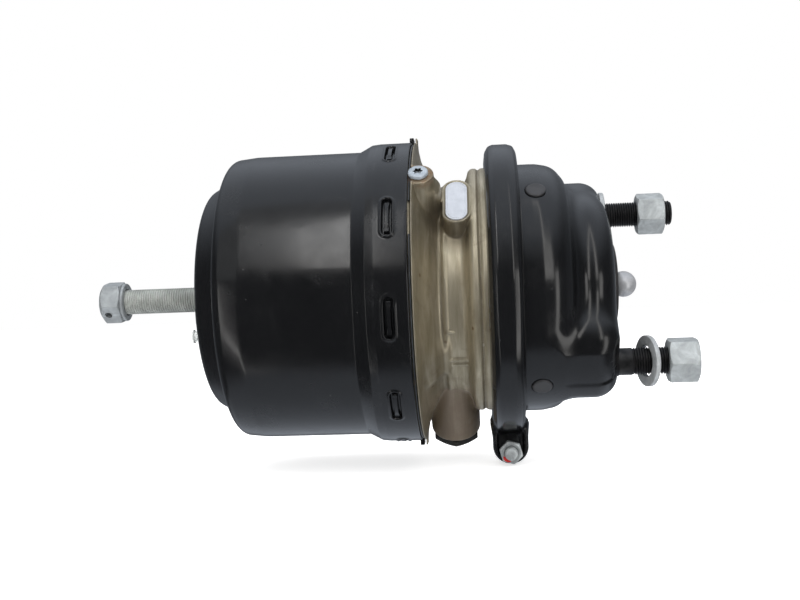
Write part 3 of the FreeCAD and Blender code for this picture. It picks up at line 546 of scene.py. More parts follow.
            v = v - g * step[:, None]
        g = self.slope(F, v, self.h * 1.1)
        g /= np.maximum(np.linalg.norm(g, axis=1), 1e-6)[:, None]
        return (v, [q]), g


# ------------------------------------------------------------------ materials
class Nodes:
    def __init__(self, name):
        self.mat = bpy.data.materials.new(name)
        self.mat.use_nodes = True
        self.t = self.mat.node_tree
        self.b = self.t.nodes["Principled BSDF"]
        self.coord = self.t.nodes.new("ShaderNodeTexCoord").outputs["Object"]

    def node(self, kind, **props):
        n = self.t.nodes.new(kind)
        for k, v in props.items():
            setattr(n, k, v)
        return n

    def link(self, a, b):
        self.t.links.new(a, b)

    def scaled(self, sx, sy, sz, turn=(0, 0, 0)):
        m = self.node("ShaderNodeMapping")
        m.inputs["Scale"].default_value = (sx, sy, sz)
        m.inputs["Rotation"].default_value = turn
        self.link(self.coord, m.inputs["Vector"])
        return m.outputs["Vector"]

    def noise(self, scale, detail=4.0, rough=0.55, vec=None, distort=0.0):
        n = self.node("ShaderNodeTexNoise")
        n.inputs["Scale"].default_value = scale
        n.inputs["Detail"].default_value = detail
        n.inputs["Roughness"].default_value = rough
        n.inputs["Distortion"].default_value = distort
        self.link(vec if vec is not None else self.coord, n.inputs["Vector"])
        return n.outputs["Fac"]

    def voronoi(self, scale, feature="F1", vec=None, random=1.0):
        n = self.node("ShaderNodeTexVoronoi", feature=feature)
        n.inputs["Scale"].default_value = scale
        n.inputs["Randomness"].default_value = random
        self.link(vec if vec is not None else self.coord, n.inputs["Vector"])
        return n.outputs["Distance"]

    def ramp(self, fac, stops, mode="LINEAR"):
        n = self.node("ShaderNodeValToRGB")
        n.color_ramp.interpolation = mode
        e = n.color_ramp.elements
        while len(e) < len(stops):
            e.new(0.5)
        for el, (pos, col) in zip(e, stops):
            el.position = pos
            el.color = (*col, 1) if isinstance(col, (tuple, list)) else (col, col, col, 1)
        self.link(fac, n.inputs["Fac"])
        return n.outputs["Color"]

    def span(self, fac, lo, hi, a=0.0, b=1.0):
        n = self.node("ShaderNodeMapRange")
        n.inputs["From Min"].default_value = lo
        n.inputs["From Max"].default_value = hi
        n.inputs["To Min"].default_value = a
        n.inputs["To Max"].default_value = b
        self.link(fac, n.inputs["Value"])
        return n.outputs["Result"]

    def mix(self, fac, a, b, mode="MIX"):
        n = self.node("ShaderNodeMix", data_type="RGBA", blend_type=mode)
        for sock, v in ((n.inputs[0], fac), (n.inputs[6], a), (n.inputs[7], b)):
            if isinstance(v, (int, float)):
                sock.default_value = v if sock == n.inputs[0] else (v, v, v, 1)
            elif isinstance(v, (tuple, list)):
                sock.default_value = (*v, 1)
            else:
                self.link(v, sock)
        return n.outputs[2]

    def math(self, op, a, b=0.5):
        n = self.node("ShaderNodeMath", operation=op)
        for sock, v in ((n.inputs[0], a), (n.inputs[1], b)):
            if isinstance(v, (int, float)):
                sock.default_value = v
            else:
                self.link(v, sock)
        return n.outputs[0]

    def bump(self, height, strength, distance=0.0002, under=None):
        n = self.node("ShaderNodeBump")
        n.inputs["Strength"].default_value = strength
        n.inputs["Distance"].default_value = distance
        self.link(height, n.inputs["Height"])
        if under is not None:
            self.link(under, n.inputs["Normal"])
        return n.outputs["Normal"]

    def axis(self, which):
        s = self.node("ShaderNodeSeparateXYZ")
        self.link(self.coord, s.inputs[0])
        return s.outputs[which]

    def edge(self):
        return self.node("ShaderNodeNewGeometry").outputs["Pointiness"]

    def done(self, color=None, rough=None, normal=None, **values):
        if color is not None:
            self.link(color, self.b.inputs["Base Color"])
        if rough is not None:
            self.link(rough, self.b.inputs["Roughness"])
        if normal is not None:
            self.link(normal, self.b.inputs["Normal"])
        for k, v in values.items():
            self.b.inputs[k.replace("_", " ")].default_value = v
        return self.mat


def paint_black():
    """Gloss black coat on pressed steel, with faint orange peel, dust and rubbed places."""
    m = Nodes("black_paint")
    big, mid, fine = m.noise(14, 5), m.noise(90, 5, 0.6), m.noise(420, 3, 0.6)
    dust = m.span(m.noise(36, 8, 0.7, distort=0.6), 0.52, 0.74)
    col = m.ramp(big, [(0.3, (0.0026, 0.0027, 0.0030)), (0.7, (0.0046, 0.0047, 0.0052))])
    col = m.mix(m.math("MULTIPLY", dust, 0.22), col, (0.014, 0.014, 0.015))
    specks = m.span(m.voronoi(130), 0.035, 0.02)
    specks = m.math("MULTIPLY", specks, m.span(m.noise(30, 3), 0.52, 0.60))
    col = m.mix(m.math("MULTIPLY", specks, 0.8), col, (0.20, 0.20, 0.20))
    worn = m.math("MULTIPLY", m.span(m.edge(), 0.57, 0.68), m.span(m.noise(120, 6, 0.7), 0.5, 0.62))
    col = m.mix(m.math("MULTIPLY", worn, 0.5), col, (0.09, 0.09, 0.10))
    rough = m.math("ADD", m.span(mid, 0.3, 0.7, 0.16, 0.26), m.math("MULTIPLY", dust, 0.10))
    peel = m.bump(m.noise(260, 2, 0.4), 0.035, 0.0003)
    nrm = m.bump(fine, 0.025, 0.0002, peel)
    return m.done(col, rough, nrm, Coat_Weight=0.2, Coat_Roughness=0.08, Specular_IOR_Level=0.5)


def cast_metal():
    """Yellow-chromated die-cast aluminium: streaks round the axis, grain, stains and a few rust spots, with painted
    shade in the hollows, the neck valley and the cone, painted shadows by the label boss and painted shade on the lower
    port boss's wall.
    """
    m = Nodes("cast_aluminium")
    streak = m.noise(1.0, 6, 0.62, m.scaled(330, 34, 34), 0.4)
    broad = m.noise(1.0, 4, 0.55, m.scaled(70, 16, 16), 0.6)
    blotch = m.noise(60, 7, 0.66, distort=0.8)
    grain = m.noise(1500, 3, 0.6)
    col = m.ramp(streak, [(0.30, (0.235, 0.205, 0.135)), (0.50, (0.370, 0.325, 0.232)), (0.68, (0.540, 0.485, 0.370))])
    col = m.mix(m.span(broad, 0.38, 0.66, 0.0, 0.7), col, (0.500, 0.448, 0.335))
    col = m.mix(m.span(blotch, 0.55, 0.72, 0.0, 0.55), col, (0.255, 0.215, 0.160))
    # browner and darker towards the bottom, broken up by noise
    low = m.span(m.axis(2), -0.045, -0.095, 0.0, 0.4)
    col = m.mix(m.math("MULTIPLY", low, m.span(m.noise(110, 6, 0.7), 0.42, 0.6)), col, (0.250, 0.165, 0.100))
    spots = m.span(m.voronoi(52), 0.075, 0.03)
    col = m.mix(m.math("MULTIPLY", spots, 0.75), col, (0.115, 0.055, 0.022))
    # painted shade: concave places, found from pointiness, are darkened to stand in for the shade in the casting's
    # hollows
    hollow = m.span(m.edge(), 0.492, 0.44, 0.0, 0.75)
    col = m.mix(hollow, col, (0.100, 0.078, 0.052))
    far = m.node("ShaderNodeVectorMath", operation="DISTANCE")
    m.link(m.coord, far.inputs[0])
    far.inputs[1].default_value = (-0.1117, -0.0627, 0.0668)
    ring = m.math("MULTIPLY", m.span(far.outputs["Value"], 0.0102, 0.0084), m.span(m.noise(260, 5, 0.7), 0.36, 0.56))
    col = m.mix(m.math("MULTIPLY", ring, 0.85), col, (0.300, 0.165, 0.085))
    # painted shade: the neck valley, about X -105 to -100 mm, is darkened where it lies in shade
    painted_valley_shade = m.math("MULTIPLY", m.span(m.axis(0), -0.1100, -0.1050), m.span(m.axis(0), -0.0975, -0.1015, 0.0, 0.55))
    col = m.mix(m.math("MULTIPLY", painted_valley_shade, m.span(broad, 0.30, 0.62, 1.0, 0.55)), col, (0.110, 0.088, 0.058))
    # painted shade: the cone between the rim and the neck is darkened towards the rim
    col = m.mix(m.span(m.axis(0), -0.1060, -0.1125, 0.0, 0.34), col, (0.165, 0.140, 0.095))
    # painted shadows: two soft dark patches, one under the label boss and one above it by the neck, stand in for the
    # shade the boss casts
    for shade_at, r0, r1, amount in (((-0.0908, -0.0630, 0.0325), 0.0135, 0.0060, 0.62), ((-0.1020, -0.0560, 0.0420), 0.0120, 0.0050, 0.6)):
        away = m.node("ShaderNodeVectorMath", operation="DISTANCE")
        m.link(m.coord, away.inputs[0])
        away.inputs[1].default_value = shade_at
        col = m.mix(m.span(away.outputs["Value"], r0, r1, 0.0, amount), col, (0.085, 0.066, 0.042))
    # painted shade: a band round the lower port boss's wall, on its lower side, is darkened and browned where the wall
    # faces down into shade
    off = m.node("ShaderNodeVectorMath", operation="SUBTRACT")
    m.link(m.coord, off.inputs[0])
    off.inputs[1].default_value = (-0.0975, 0.0130, -0.0860)
    turn = m.node("ShaderNodeVectorMath", operation="CROSS_PRODUCT")
    m.link(off.outputs[0], turn.inputs[0])
    turn.inputs[1].default_value = (0.0, 0.5878, -0.8090)
    size = m.node("ShaderNodeVectorMath", operation="LENGTH")
    m.link(turn.outputs[0], size.inputs[0])
    side = m.math("MULTIPLY", m.span(size.outputs["Value"], 0.0145, 0.0152), m.span(size.outputs["Value"], 0.0165, 0.0158))
    side = m.math("MULTIPLY", side, m.span(m.axis(2), -0.050, -0.058))
    col = m.mix(m.math("MULTIPLY", side, m.span(m.noise(75, 6, 0.65), 0.3, 0.7, 0.95, 0.6)), col, (0.250, 0.192, 0.142))
    bright = m.span(m.edge(), 0.53, 0.60, 0.0, 0.6)
    col = m.mix(bright, col, (0.56, 0.52, 0.44))
    rough = m.math("ADD", m.span(streak, 0.3, 0.7, 0.42, 0.30), m.span(blotch, 0.4, 0.75, 0.0, 0.14))
    nrm = m.bump(grain, 0.10, 0.0002, m.bump(streak, 0.22, 0.0003, m.bump(blotch, 0.12, 0.0005)))
    return m.done(col, rough, nrm, Metallic=0.78)


def zinc(name, tint=(0.60, 0.62, 0.63), dark=(0.36, 0.375, 0.38), metal=0.7, r0=0.34, r1=0.52, spots=0.55):
    """Zinc-plated steel: cloudy plating, small dark pits, brighter rubbed edges."""
    m = Nodes(name)
    cloud, fine = m.noise(130, 7, 0.65, distort=0.5), m.noise(1400, 4, 0.7)
    col = m.ramp(cloud, [(0.28, dark), (0.5, tuple(0.5 * (a + b) for a, b in zip(tint, dark))), (0.66, tint)])
    col = m.mix(m.span(fine, 0.35, 0.7, 0.0, 0.25), col, tuple(0.8 * a for a in tint))
    pits = m.span(m.voronoi(330), 0.09, 0.03)
    pits = m.math("MULTIPLY", pits, m.span(m.noise(90, 3), 0.5, 0.62))
    col = m.mix(m.math("MULTIPLY", pits, spots), col, (0.06, 0.06, 0.06))
    col = m.mix(m.span(m.edge(), 0.55, 0.66, 0.0, 0.5), col, tuple(min(1, 1.3 * a) for a in tint))
    rough = m.span(cloud, 0.3, 0.7, r1, r0)
    nrm = m.bump(fine, 0.08, 0.0001, m.bump(cloud, 0.10, 0.0003))
    return m.done(col, rough, nrm, Metallic=metal)


def dark_steel(name="black_steel", base=(0.012, 0.012, 0.013), worn=(0.16, 0.155, 0.15), amount=0.55):
    """Blackened thread: oily black with the crests rubbed to grey."""
    m = Nodes(name)
    mid = m.noise(240, 6, 0.65)
    rub = m.math("MULTIPLY", m.span(m.edge(), 0.51, 0.60), m.span(m.noise(150, 4), 0.35, 0.6))
    col = m.ramp(mid, [(0.3, base), (0.7, tuple(2.2 * a for a in base))])
    col = m.mix(m.math("MULTIPLY", rub, amount), col, worn)
    rough = m.span(mid, 0.3, 0.7, 0.30, 0.46)
    return m.done(col, rough, m.bump(m.noise(1800, 3), 0.08, 0.0001), Metallic=0.55)


def rubber():
    m = Nodes("black_rubber")
    mid, fine = m.noise(120, 5, 0.6), m.noise(1700, 4, 0.7)
    col = m.ramp(mid, [(0.3, (0.010, 0.010, 0.010)), (0.7, (0.021, 0.020, 0.020))])
    col = m.mix(m.span(m.noise(44, 7, 0.7), 0.56, 0.75, 0.0, 0.3), col, (0.060, 0.058, 0.055))
    return m.done(col, m.span(mid, 0.3, 0.7, 0.46, 0.66), m.bump(fine, 0.16, 0.0002))


def plated():
    """Silver label sheet: satin, lightly brushed along its length."""
    m = Nodes("silver_plate")
    brush = m.noise(1.0, 4, 0.6, m.scaled(2600, 160, 160), 0.1)
    cloud = m.noise(170, 5, 0.6)
    col = m.ramp(cloud, [(0.3, (0.52, 0.54, 0.58)), (0.7, (0.64, 0.66, 0.70))])
    col = m.mix(m.span(brush, 0.3, 0.7, 0.0, 0.25), col, (0.44, 0.46, 0.50))
    return m.done(col, m.span(brush, 0.3, 0.7, 0.30, 0.42), m.bump(brush, 0.05, 0.0001), Metallic=0.55)


def spring_metal():
    m = Nodes("spring_steel")
    a, b = m.noise(160, 6, 0.65), m.noise(900, 4, 0.6)
    col = m.ramp(a, [(0.3, (0.030, 0.033, 0.036)), (0.7, (0.075, 0.078, 0.082))])
    col = m.mix(m.span(m.noise(70, 6, 0.7), 0.58, 0.72, 0.0, 0.6), col, (0.16, 0.075, 0.03))
    return m.done(col, m.span(a, 0.3, 0.7, 0.28, 0.45), m.bump(b, 0.12, 0.0002), Metallic=0.6)


def drawn_tube():
    m = Nodes("plated_tube")
    ring = m.noise(1.0, 4, 0.6, m.scaled(1500, 60, 60))
    col = m.ramp(ring, [(0.3, (0.50, 0.50, 0.48)), (0.7, (0.68, 0.68, 0.66))])
    return m.done(col, m.span(ring, 0.3, 0.7, 0.16, 0.28), m.bump(ring, 0.06, 0.0001), Metallic=0.95)


def plastic(name, base, other, r0=0.35, r1=0.55):
    m = Nodes(name)
    a, b = m.noise(150, 5, 0.6), m.noise(1300, 3, 0.6)
    return m.done(m.ramp(a, [(0.3, base), (0.7, other)]), m.span(a, 0.3, 0.7, r0, r1), m.bump(b, 0.10, 0.0002))


def clear_plug():
    m = Nodes("clear_plastic")
    a = m.noise(260, 5, 0.6)
    col = m.ramp(a, [(0.3, (0.80, 0.83, 0.82)), (0.7, (0.93, 0.95, 0.94))])
    return m.done(col, m.span(a, 0.3, 0.7, 0.12, 0.26), m.bump(m.noise(900, 3), 0.08, 0.0002), Transmission_Weight=0.55, IOR=1.46)


def ball_metal():
    m = Nodes("ball_steel")
    a, b = m.noise(220, 7, 0.7), m.noise(1500, 4, 0.7)
    col = m.ramp(a, [(0.3, (0.34, 0.345, 0.36)), (0.55, (0.48, 0.485, 0.50)), (0.7, (0.62, 0.625, 0.64))])
    return m.done(col, m.span(a, 0.3, 0.7, 0.44, 0.30), m.bump(b, 0.10, 0.0002, m.bump(a, 0.12, 0.0003)), Metallic=0.55)


BLACK = paint_black()
CAST = cast_metal()
ZINC = zinc("zinc_steel", (0.485, 0.515, 0.52), (0.27, 0.285, 0.29), 0.5)
WHITE_ZINC = zinc("screw_zinc", (0.46, 0.51, 0.56), (0.26, 0.30, 0.34), 0.5, 0.30, 0.44, 0.4)
BOLT = zinc("bolt_zinc", (0.54, 0.56, 0.53), (0.30, 0.31, 0.295), 0.5, 0.32, 0.48, 0.8)
HEAD = zinc("head_zinc", (0.40, 0.425, 0.435), (0.235, 0.25, 0.26), 0.5, 0.34, 0.5, 0.6)
WASHER = zinc("washer_zinc", (0.50, 0.52, 0.53), (0.27, 0.28, 0.285), 0.5, 0.36, 0.55, 0.6)
STUD = dark_steel(base=(0.006, 0.006, 0.0065), worn=(0.10, 0.098, 0.095), amount=0.4)
PLUG = dark_steel("plug_black", (0.010, 0.010, 0.009), (0.10, 0.09, 0.07), 0.4)
RUBBER = rubber()
PLATE = plated()
SPRING = spring_metal()
TUBE = drawn_tube()
NYLON = plastic("dark_plastic", (0.018, 0.018, 0.019), (0.034, 0.034, 0.036))
CLEAR = clear_plug()
BALL = ball_metal()
RED = plastic("red_mark", (0.42, 0.010, 0.008), (0.55, 0.022, 0.016), 0.3, 0.5)

slot_of = {
    "black_paint": BLACK, "zinc_steel": ZINC, "clear_plastic": CLEAR, "spring_steel": SPRING, "dark_plastic": NYLON,
    "cast_aluminium": CAST, "black_rubber": RUBBER, "silver_plate": PLATE, "black_steel": STUD, "plated_tube": TUBE,
}
slot_names = {n["node"]: n.get("material_slot") for n in frame["record"].get("subparts", []) if "node" in n}
for name, ob in frame["nodes"].items():
    mat = slot_of.get(slot_names.get(name), ZINC)
    if ob.material_slots:
        for s in ob.material_slots:
            s.material = mat
    else:
        ob.data.materials.append(mat)

# ------------------------------------------------------------------ spring housing
cup_outer = [
    (-250.5, 9.5), (-250.5, 28.0, 20), (-249.6, 40.0, 30), (-243.8, 66.8, 7.7), (-230.3, 74.2, 1.3),
    (-230.3, 86.4, 6.5), (-214.0, 88.1, 30), (-149.6, 88.2, 2.2), (-142.0, 92.2, 2.4), (-137.0, 92.7),
]
cup_inner = [
    (-137.0, 90.2), (-141.0, 89.8, 4), (-149.4, 85.6, 4), (-213.6, 85.5, 20), (-227.7, 84.0, 4.0),
    (-227.7, 72.8, 3.5), (-242.1, 64.9, 6), (-247.0, 39.5, 30), (-247.9, 27.6, 12), (-247.9, 9.5),
]
outline = np.concatenate([rounded(cup_outer, False, 8), rounded(cup_inner, False, 6)])
make("spring_housing_cup", lathe(outline, 256), BLACK, "housing", ["spring_housing"])


def smooth(t):
    t = np.clip(t, 0, 1)
    return t * t * (3 - 2 * t)


def rim_band():
    """The widened rim: ten lanced slots, each with a raised edge and a bent tab in the middle."""
    n = 2160
    th = np.arange(n) * TAU / n
    x = np.concatenate([np.arange(-137.0, -122.2, 0.26), np.arange(-122.2, -118.6, 0.4), [-118.4, -118.2, -118.0, -117.9]])
    r = 92.7 + 0.1 * (x + 138) / 18
    r = r - 0.45 * np.clip((x + 118.9) / 1.0, 0, 1) ** 2
    xx, tt = np.meshgrid(x, th, indexing="ij")
    rr = np.repeat(r[:, None], n, 1)
    for k in range(10):
        a = math.radians(27.1 + 36.0 * k)
        arc = ((tt - a + math.pi) % TAU - math.pi) * 92.7
        near = np.abs(arc) < 22
        u, w = xx[near] + 129.2, arc[near]
        long = np.maximum(np.abs(w) - 9.1, 0)
        q = np.sqrt(u * u + long * long)
        lip = 0.62 * np.exp(-(((q - 3.55) / 0.75) ** 2))
        groove = -2.7 * smooth((2.95 - q) / 0.7)
        tab_w = 1.55 + 0.25 * smooth((np.abs(w) - 4) / 4)
        tab = smooth((tab_w - np.abs(u)) / 0.55) * smooth((10.3 - np.abs(w)) / 1.0)
        lift = 2.7 + 0.55 * np.exp(-((w / 7.5) ** 2)) - 0.30 * np.exp(-(((np.abs(w) - 8.0) / 1.6) ** 2))
        notch = -1.2 * np.exp(-(((w + 10.3) / 0.8) ** 2)) * (np.abs(u) < 1.7)
        rr[near] += lip + groove + tab * lift + notch * tab
    rr = np.minimum(rr, 92.86 / np.maximum(np.abs(np.sin(tt)), 0.01))
    v = np.stack([xx, -rr * np.sin(tt), rr * np.cos(tt)], -1).reshape(-1, 3)
    outer = (v, [net(len(x), n, False, True)[:, ::-1]])
    edge = np.array([(-117.9, 92.35), (-117.9, 90.5), (-118.1, 90.2), (-137.0, 90.2)])
    e = lathe(edge, 256, False)
    return join(outer, (e[0], [f[:, ::-1] for f in e[1]]))


make("spring_housing_rim", rim_band(), BLACK, "housing", angle=50)


def beveled_box(half, edge, at, ex, ey, ez):
    """A small block with rounded edges."""
    h = np.array(half, float)
    s = np.array([-1, -0.5, 0, 0.5, 1.0])
    pts, faces, n = [], [], 0
    for a in range(3):
        b, c = (a + 1) % 3, (a + 2) % 3
        for side in (-1, 1):
            u = np.concatenate([[-h[b]], np.linspace(-h[b] + edge, h[b] - edge, 4), [h[b]]])
            w = np.concatenate([[-h[c]], np.linspace(-h[c] + edge, h[c] - edge, 4), [h[c]]])
            g = np.zeros((6, 6, 3))
            g[..., a] = side * h[a]
            g[..., b] = u[:, None]
            g[..., c] = w[None]
            p = g.reshape(-1, 3)
            core = np.clip(p, -(h - edge), h - edge)
            d = p - core
            ln = np.maximum(np.linalg.norm(d, axis=1), 1e-9)[:, None]
            p = core + d / ln * edge
            q = net(6, 6)
            faces.append((q if side > 0 else q[:, ::-1]) + n)
            pts.append(p)
            n += 36
    p = np.concatenate(pts)
    axes = np.array([ex, ey, ez], float)
    return p @ axes + np.asarray(at, float), faces


def radial(deg):
    a = math.radians(deg)
    return np.array([0.0, -math.sin(a), math.cos(a)])


def tangent(deg):
    a = math.radians(deg)
    return np.array([0.0, -math.cos(a), -math.sin(a)])


XA = np.array([1.0, 0, 0])
lugs = []
for a in (-2.0, 182.0):
    lugs.append(beveled_box((1.35, 4.5, 2.15), 0.5, radial(a) * 94.3 + XA * -118.55, XA, tangent(a), radial(a)))
make("rim_stop_lugs", join(*lugs), BLACK, "housing", angle=60)

# end plug in the cup's end
plug = rounded([(-248.28, 0), (-248.28, 2.4, 0.3), (-247.9, 4.0, 0.4), (-247.12, 4.0, 0.2), (-247.12, 2.9), (-242.7, 2.9, 0.6), (-242.7, 0)])
make("end_plug_clear", moved(lathe(plug, 48), (0, -55.0, -22.0)), CLEAR, "housing", ["end_plug"])

# ------------------------------------------------------------------ release bolt
head = about_x(moved(hexa(24.0, 13.8, 9.9, 11.3, tan0=0.72, tan1=0.577), (-320.6, 0, 0)), 12.0)
head_ob = make("release_bolt_head", head, HEAD, None, angle=24)
d = radial(90.0 + 42.0)
drill = aim(lathe(rounded([(0, 0), (0, 2.3), (22, 2.3), (22, 0)]), 40), np.array([-314.8, 0, 0]), d)
cutter = make("cutter", drill, HEAD)
bpy.context.view_layer.update()
mod = head_ob.modifiers.new("hole", "BOOLEAN")
mod.operation, mod.object, mod.solver = "DIFFERENCE", cutter, "EXACT"
bpy.context.view_layer.update()
new = bpy.data.meshes.new_from_object(head_ob.evaluated_get(bpy.context.evaluated_depsgraph_get()))
if len(new.polygons) > 100:
    head_ob.modifiers.clear()
    head_ob.data = new
    head_ob.data.set_sharp_from_angle(angle=math.radians(24))
else:
    head_ob.modifiers.clear()
bpy.data.objects.remove(cutter)
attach(head_ob, "release_bolt")
shank = join(
    thread(-306.6, -184.9, 7.9, 1.5, n=80, k=8, start=7.3, end=7.3, cap1=False),
    lathe(rounded([(-307.0, 0.0), (-307.0, 9.0, 0.5), (-306.4, 7.4, 0.5), (-306.0, 7.0), (-306.0, 0.0)]), 64),
    lathe(rounded([(-185.2, 0.0), (-184.9, 7.3), (-172.8, 7.3), (-172.8, 11.0, 0.8), (-168.0, 11.0, 0.8), (-168.0, 7.9, 0.4), (-161.0, 7.9, 0.6), (-160.0, 6.9), (-160.0, 0.0)]), 64),
)
shank_ob = make("release_bolt_shank", shank, BOLT, "release_bolt", ["release_bolt"], angle=40)
wash = rounded([(-306.78, 8.4, 0.3), (-306.78, 12.0, 0.5), (-304.9, 12.0, 0.7), (-304.9, 8.4, 0.3)], seg=4)
make("release_bolt_washer", lathe(wash, 120), HEAD, "release_bolt", ["release_washer"])

# ------------------------------------------------------------------ intermediate flange
low_dir = np.array([0, math.sin(math.radians(36)), -math.cos(math.radians(36))])
low_at = np.array([-97.5, 13.0, -86.0])
up_dir = np.array([0, 0.74, 0.673])
up_dir /= np.linalg.norm(up_dir)
up_at = np.array([-92.0, 0, 0]) + up_dir * 87.0
lock_dir, lock_at = radial(43.2), np.array([-111.95, 0, 0])
lab_n, lab_t = radial(46.5), tangent(46.5)
lab_at = np.array([-90.8, 0, 0])


def flange():
    g = Field((-141.0, -98.0, -102.5), (-65.6, 98.0, 98.0), 0.62)
    outer = rounded([
        (-139.5, 0.0), (-139.5, 89.1, 0.8), (-134.6, 89.9, 0.3), (-116.2, 89.9), (-116.2, 92.9, 0.3), (-115.4, 92.9, 0.3),
        (-115.0, 90.2, 3), (-113.5, 82.5, 14), (-110.5, 74.6, 14), (-106.5, 68.2, 8), (-102.8, 64.8, 2), (-101.0, 64.3, 1.5),
        (-99.0, 65.9, 1.5), (-97.2, 65.1, 1.5), (-87.4, 65.5, 4), (-85.2, 69.6, 3), (-84.2, 73.6, 2.5), (-82.2, 75.2, 2.0),
        (-79.3, 75.2, 0.6), (-78.5, 74.0, 0.6), (-77.7, 74.0, 0.6), (-76.9, 75.2, 0.6), (-71.0, 75.5), (-71.0, 83.4, 0.4),
        (-70.4, 84.0, 0.4), (-67.2, 84.0, 0.3), (-67.2, 0.0),
    ], seg=4)
    F = g.turned(outer, blur=0.35)
    for a in (-2.0, 182.0):
        fin = g.box(XA * -115.65 + radial(a) * 92.3, XA, tangent(a), radial(a), (0.62, 4.5, 4.05), 0.3)
        F = smin(F, fin, 0.8)
    low = g.rod(low_at - low_dir * 46, low_dir, 15.4, 46.0, 0.8)
    up = g.rod(up_at - up_dir * 46, up_dir, 15.2, 46.0, 0.8)
    lock = g.rod(lock_at + lock_dir * 55, lock_dir, 8.9, 36.6, 0.6)
    # the screw boss runs on to the right as a soft rib
    rib = g.box(lock_at + lock_dir * 72 + XA * 5.5, XA, tangent(43.2), lock_dir, (6.5, 6.2, 12.0), 4.0)
    lab = g.stadium(lab_at + lab_n * 63.6, XA, lab_t, lab_n, 8.4, 18.4, 11.4, 0.8)
    facet = g.box(radial(128.0) * 65.5 + XA * -111.0, XA * 0.83 + radial(128.0) * 0.55, tangent(128.0), radial(128.0) * 0.83 - XA * 0.55, (8.0, 10.0, 8.0), 4.0)
    F = smin(F, facet, 9.0)
    F = smin(F, low, 0.8)
    F = smin(F, up, 1.6)
    F = smin(F, lock, 2.0)
    F = smin(F, rib, 6.0)
    F = smin(F, lab, 1.8)
    # shallow ribs and pads of the casting
    for a, x0, hx, ht, top in ((128.5, -91.0, 6.5, 0.7, 66.5), (132.0, -91.0, 5.5, 0.6, 66.2), (112.0, -97.0, 2.0, 0.6, 66.2)):
        pad = g.box(radial(a) * (top - 2.0) + XA * x0, XA, tangent(a), radial(a), (hx, ht, 2.0), 0.5)
        F = smin(F, pad, 1.0)
    # hollows
    left = [(-140.5, 0.0), (-140.5, 86.2), (-119.4, 86.2), (-119.4, 77.0), (-113.6, 66.5), (-110.2, 58.0), (-109.6, 30.5), (-117.4, 29.5), (-117.4, 0.0)]
    right = [(-66.2, 0.0), (-66.2, 74.6), (-67.6, 74.6), (-72.0, 68.4), (-79.6, 60.6), (-91.5, 60.0), (-97.4, 54.5), (-98.4, 31.0), (-84.0, 29.5), (-84.0, 0.0)]
    bore = [(-118.4, 0.0), (-118.4, 24.2), (-83.0, 24.2), (-83.0, 0.0)]
    ring_groove = [(-134.6, 87.9), (-134.6, 92.0), (-130.4, 92.0), (-130.4, 87.9)]
    room = [(-145.0, 89.92), (-145.0, 125.0), (-116.22, 125.0), (-116.22, 89.92)]
    for p in (left, right, bore, ring_groove, room):
        F = np.maximum(F, -g.turned(np.array(p, float)))
    F = np.maximum(F, -g.rod(low_at - low_dir * 16, low_dir, 10.2, 18.0))
    F = np.maximum(F, -g.rod(up_at - up_dir * 16, up_dir, 10.2, 18.0))
    F = smax(F, -g.rod(lock_at + lock_dir * 91.62, lock_dir, 7.6, 12.0), 0.4)
    F = smax(F, -g.stadium(lab_at + lab_n * 76.2, XA, lab_t, lab_n, 7.0, 17.0, 2.0, 0.0), 0.3)
    return g.surface(F)


piece, nrm = flange()
make("flange_cast", piece, CAST, "housing", ["intermediate_flange"], normals=nrm)


def label():
    """The bare oval plate: turned-down edge, a fine groove round it."""
    r, c, m = 6.3, 10.0, 48
    a = np.linspace(0, math.pi, m)
    loop = np.concatenate([
        np.stack([r * np.cos(a), c + r * np.sin(a)], -1), np.stack([-r * np.cos(a), -c - r * np.sin(a)], -1)])
    out = np.concatenate([np.stack([np.cos(a), np.sin(a)], -1), np.stack([-np.cos(a), -np.sin(a)], -1)])
    rows = [(0.0, 0.0), (0.0, 0.55), (0.18, 0.78), (0.9, 0.80), (1.02, 0.66), (1.28, 0.66), (1.4, 0.80), (6.28, 0.80)]
    v = np.concatenate([np.concatenate([loop - out * d0, np.full((2 * m, 1), h0)], 1) for d0, h0 in rows])
    f = [net(len(rows), 2 * m, False, True), (np.arange(2 * m) + (len(rows) - 1) * 2 * m)[None]]
    world = lab_at + lab_n * 74.21 + v[:, :1] * XA + v[:, 1:2] * lab_t + v[:, 2:3] * lab_n
    return world, f


lab = make("label_plate_bare", label(), PLATE, "housing", ["label_plate"], angle=25)
fix_normals(lab)


def torx(inside):
    n = 144
    th = np.arange(n) * TAU / n
    one = np.ones(n)
    star = 2.45 + 0.48 * np.cos(6 * th) + 0.06 * np.cos(12 * th)
    rows = [(0.0, 0 * one), (0.0, 5.6 * one), (0.25, 5.8 * one), (0.9, 5.82 * one), (1.5, 5.7 * one), (1.95, 5.3 * one), (2.22, 4.5 * one),
            (2.3, 3.8 * one), (2.3, star + 0.22), (2.15, star + 0.05), (1.9, star), (-0.3, star * 0.96), (-0.4, star * 0.8), (-0.45, 0 * one)]
    rows = (rows[10:] if inside else rows[:11])[::-1]
    x = np.array([a * one for a, _ in rows])
    r = np.array([b for _, b in rows])
    v = np.stack([x, -r * np.sin(th), r * np.cos(th)], -1).reshape(-1, 3)
    ids = np.arange(len(rows) * n).reshape(len(rows), n)
    if inside:
        ids[0] = ids[0, 0]
    else:
        ids[-1] = ids[-1, 0]
    return tidy(v, [ids.ravel()[net(len(rows), n, False, True)]])


screw = join(aim(torx(False), lock_at + lock_dir * 91.7, lock_dir), aim(thread(-15.4, -0.6, 2.9, 1.0, n=36, k=8, cap0=True, cap1=False, tip=0.6), lock_at + lock_dir * 91.7, lock_dir))
make("locking_screw_torx", screw, WHITE_ZINC, "housing", ["locking_screw"], angle=35)
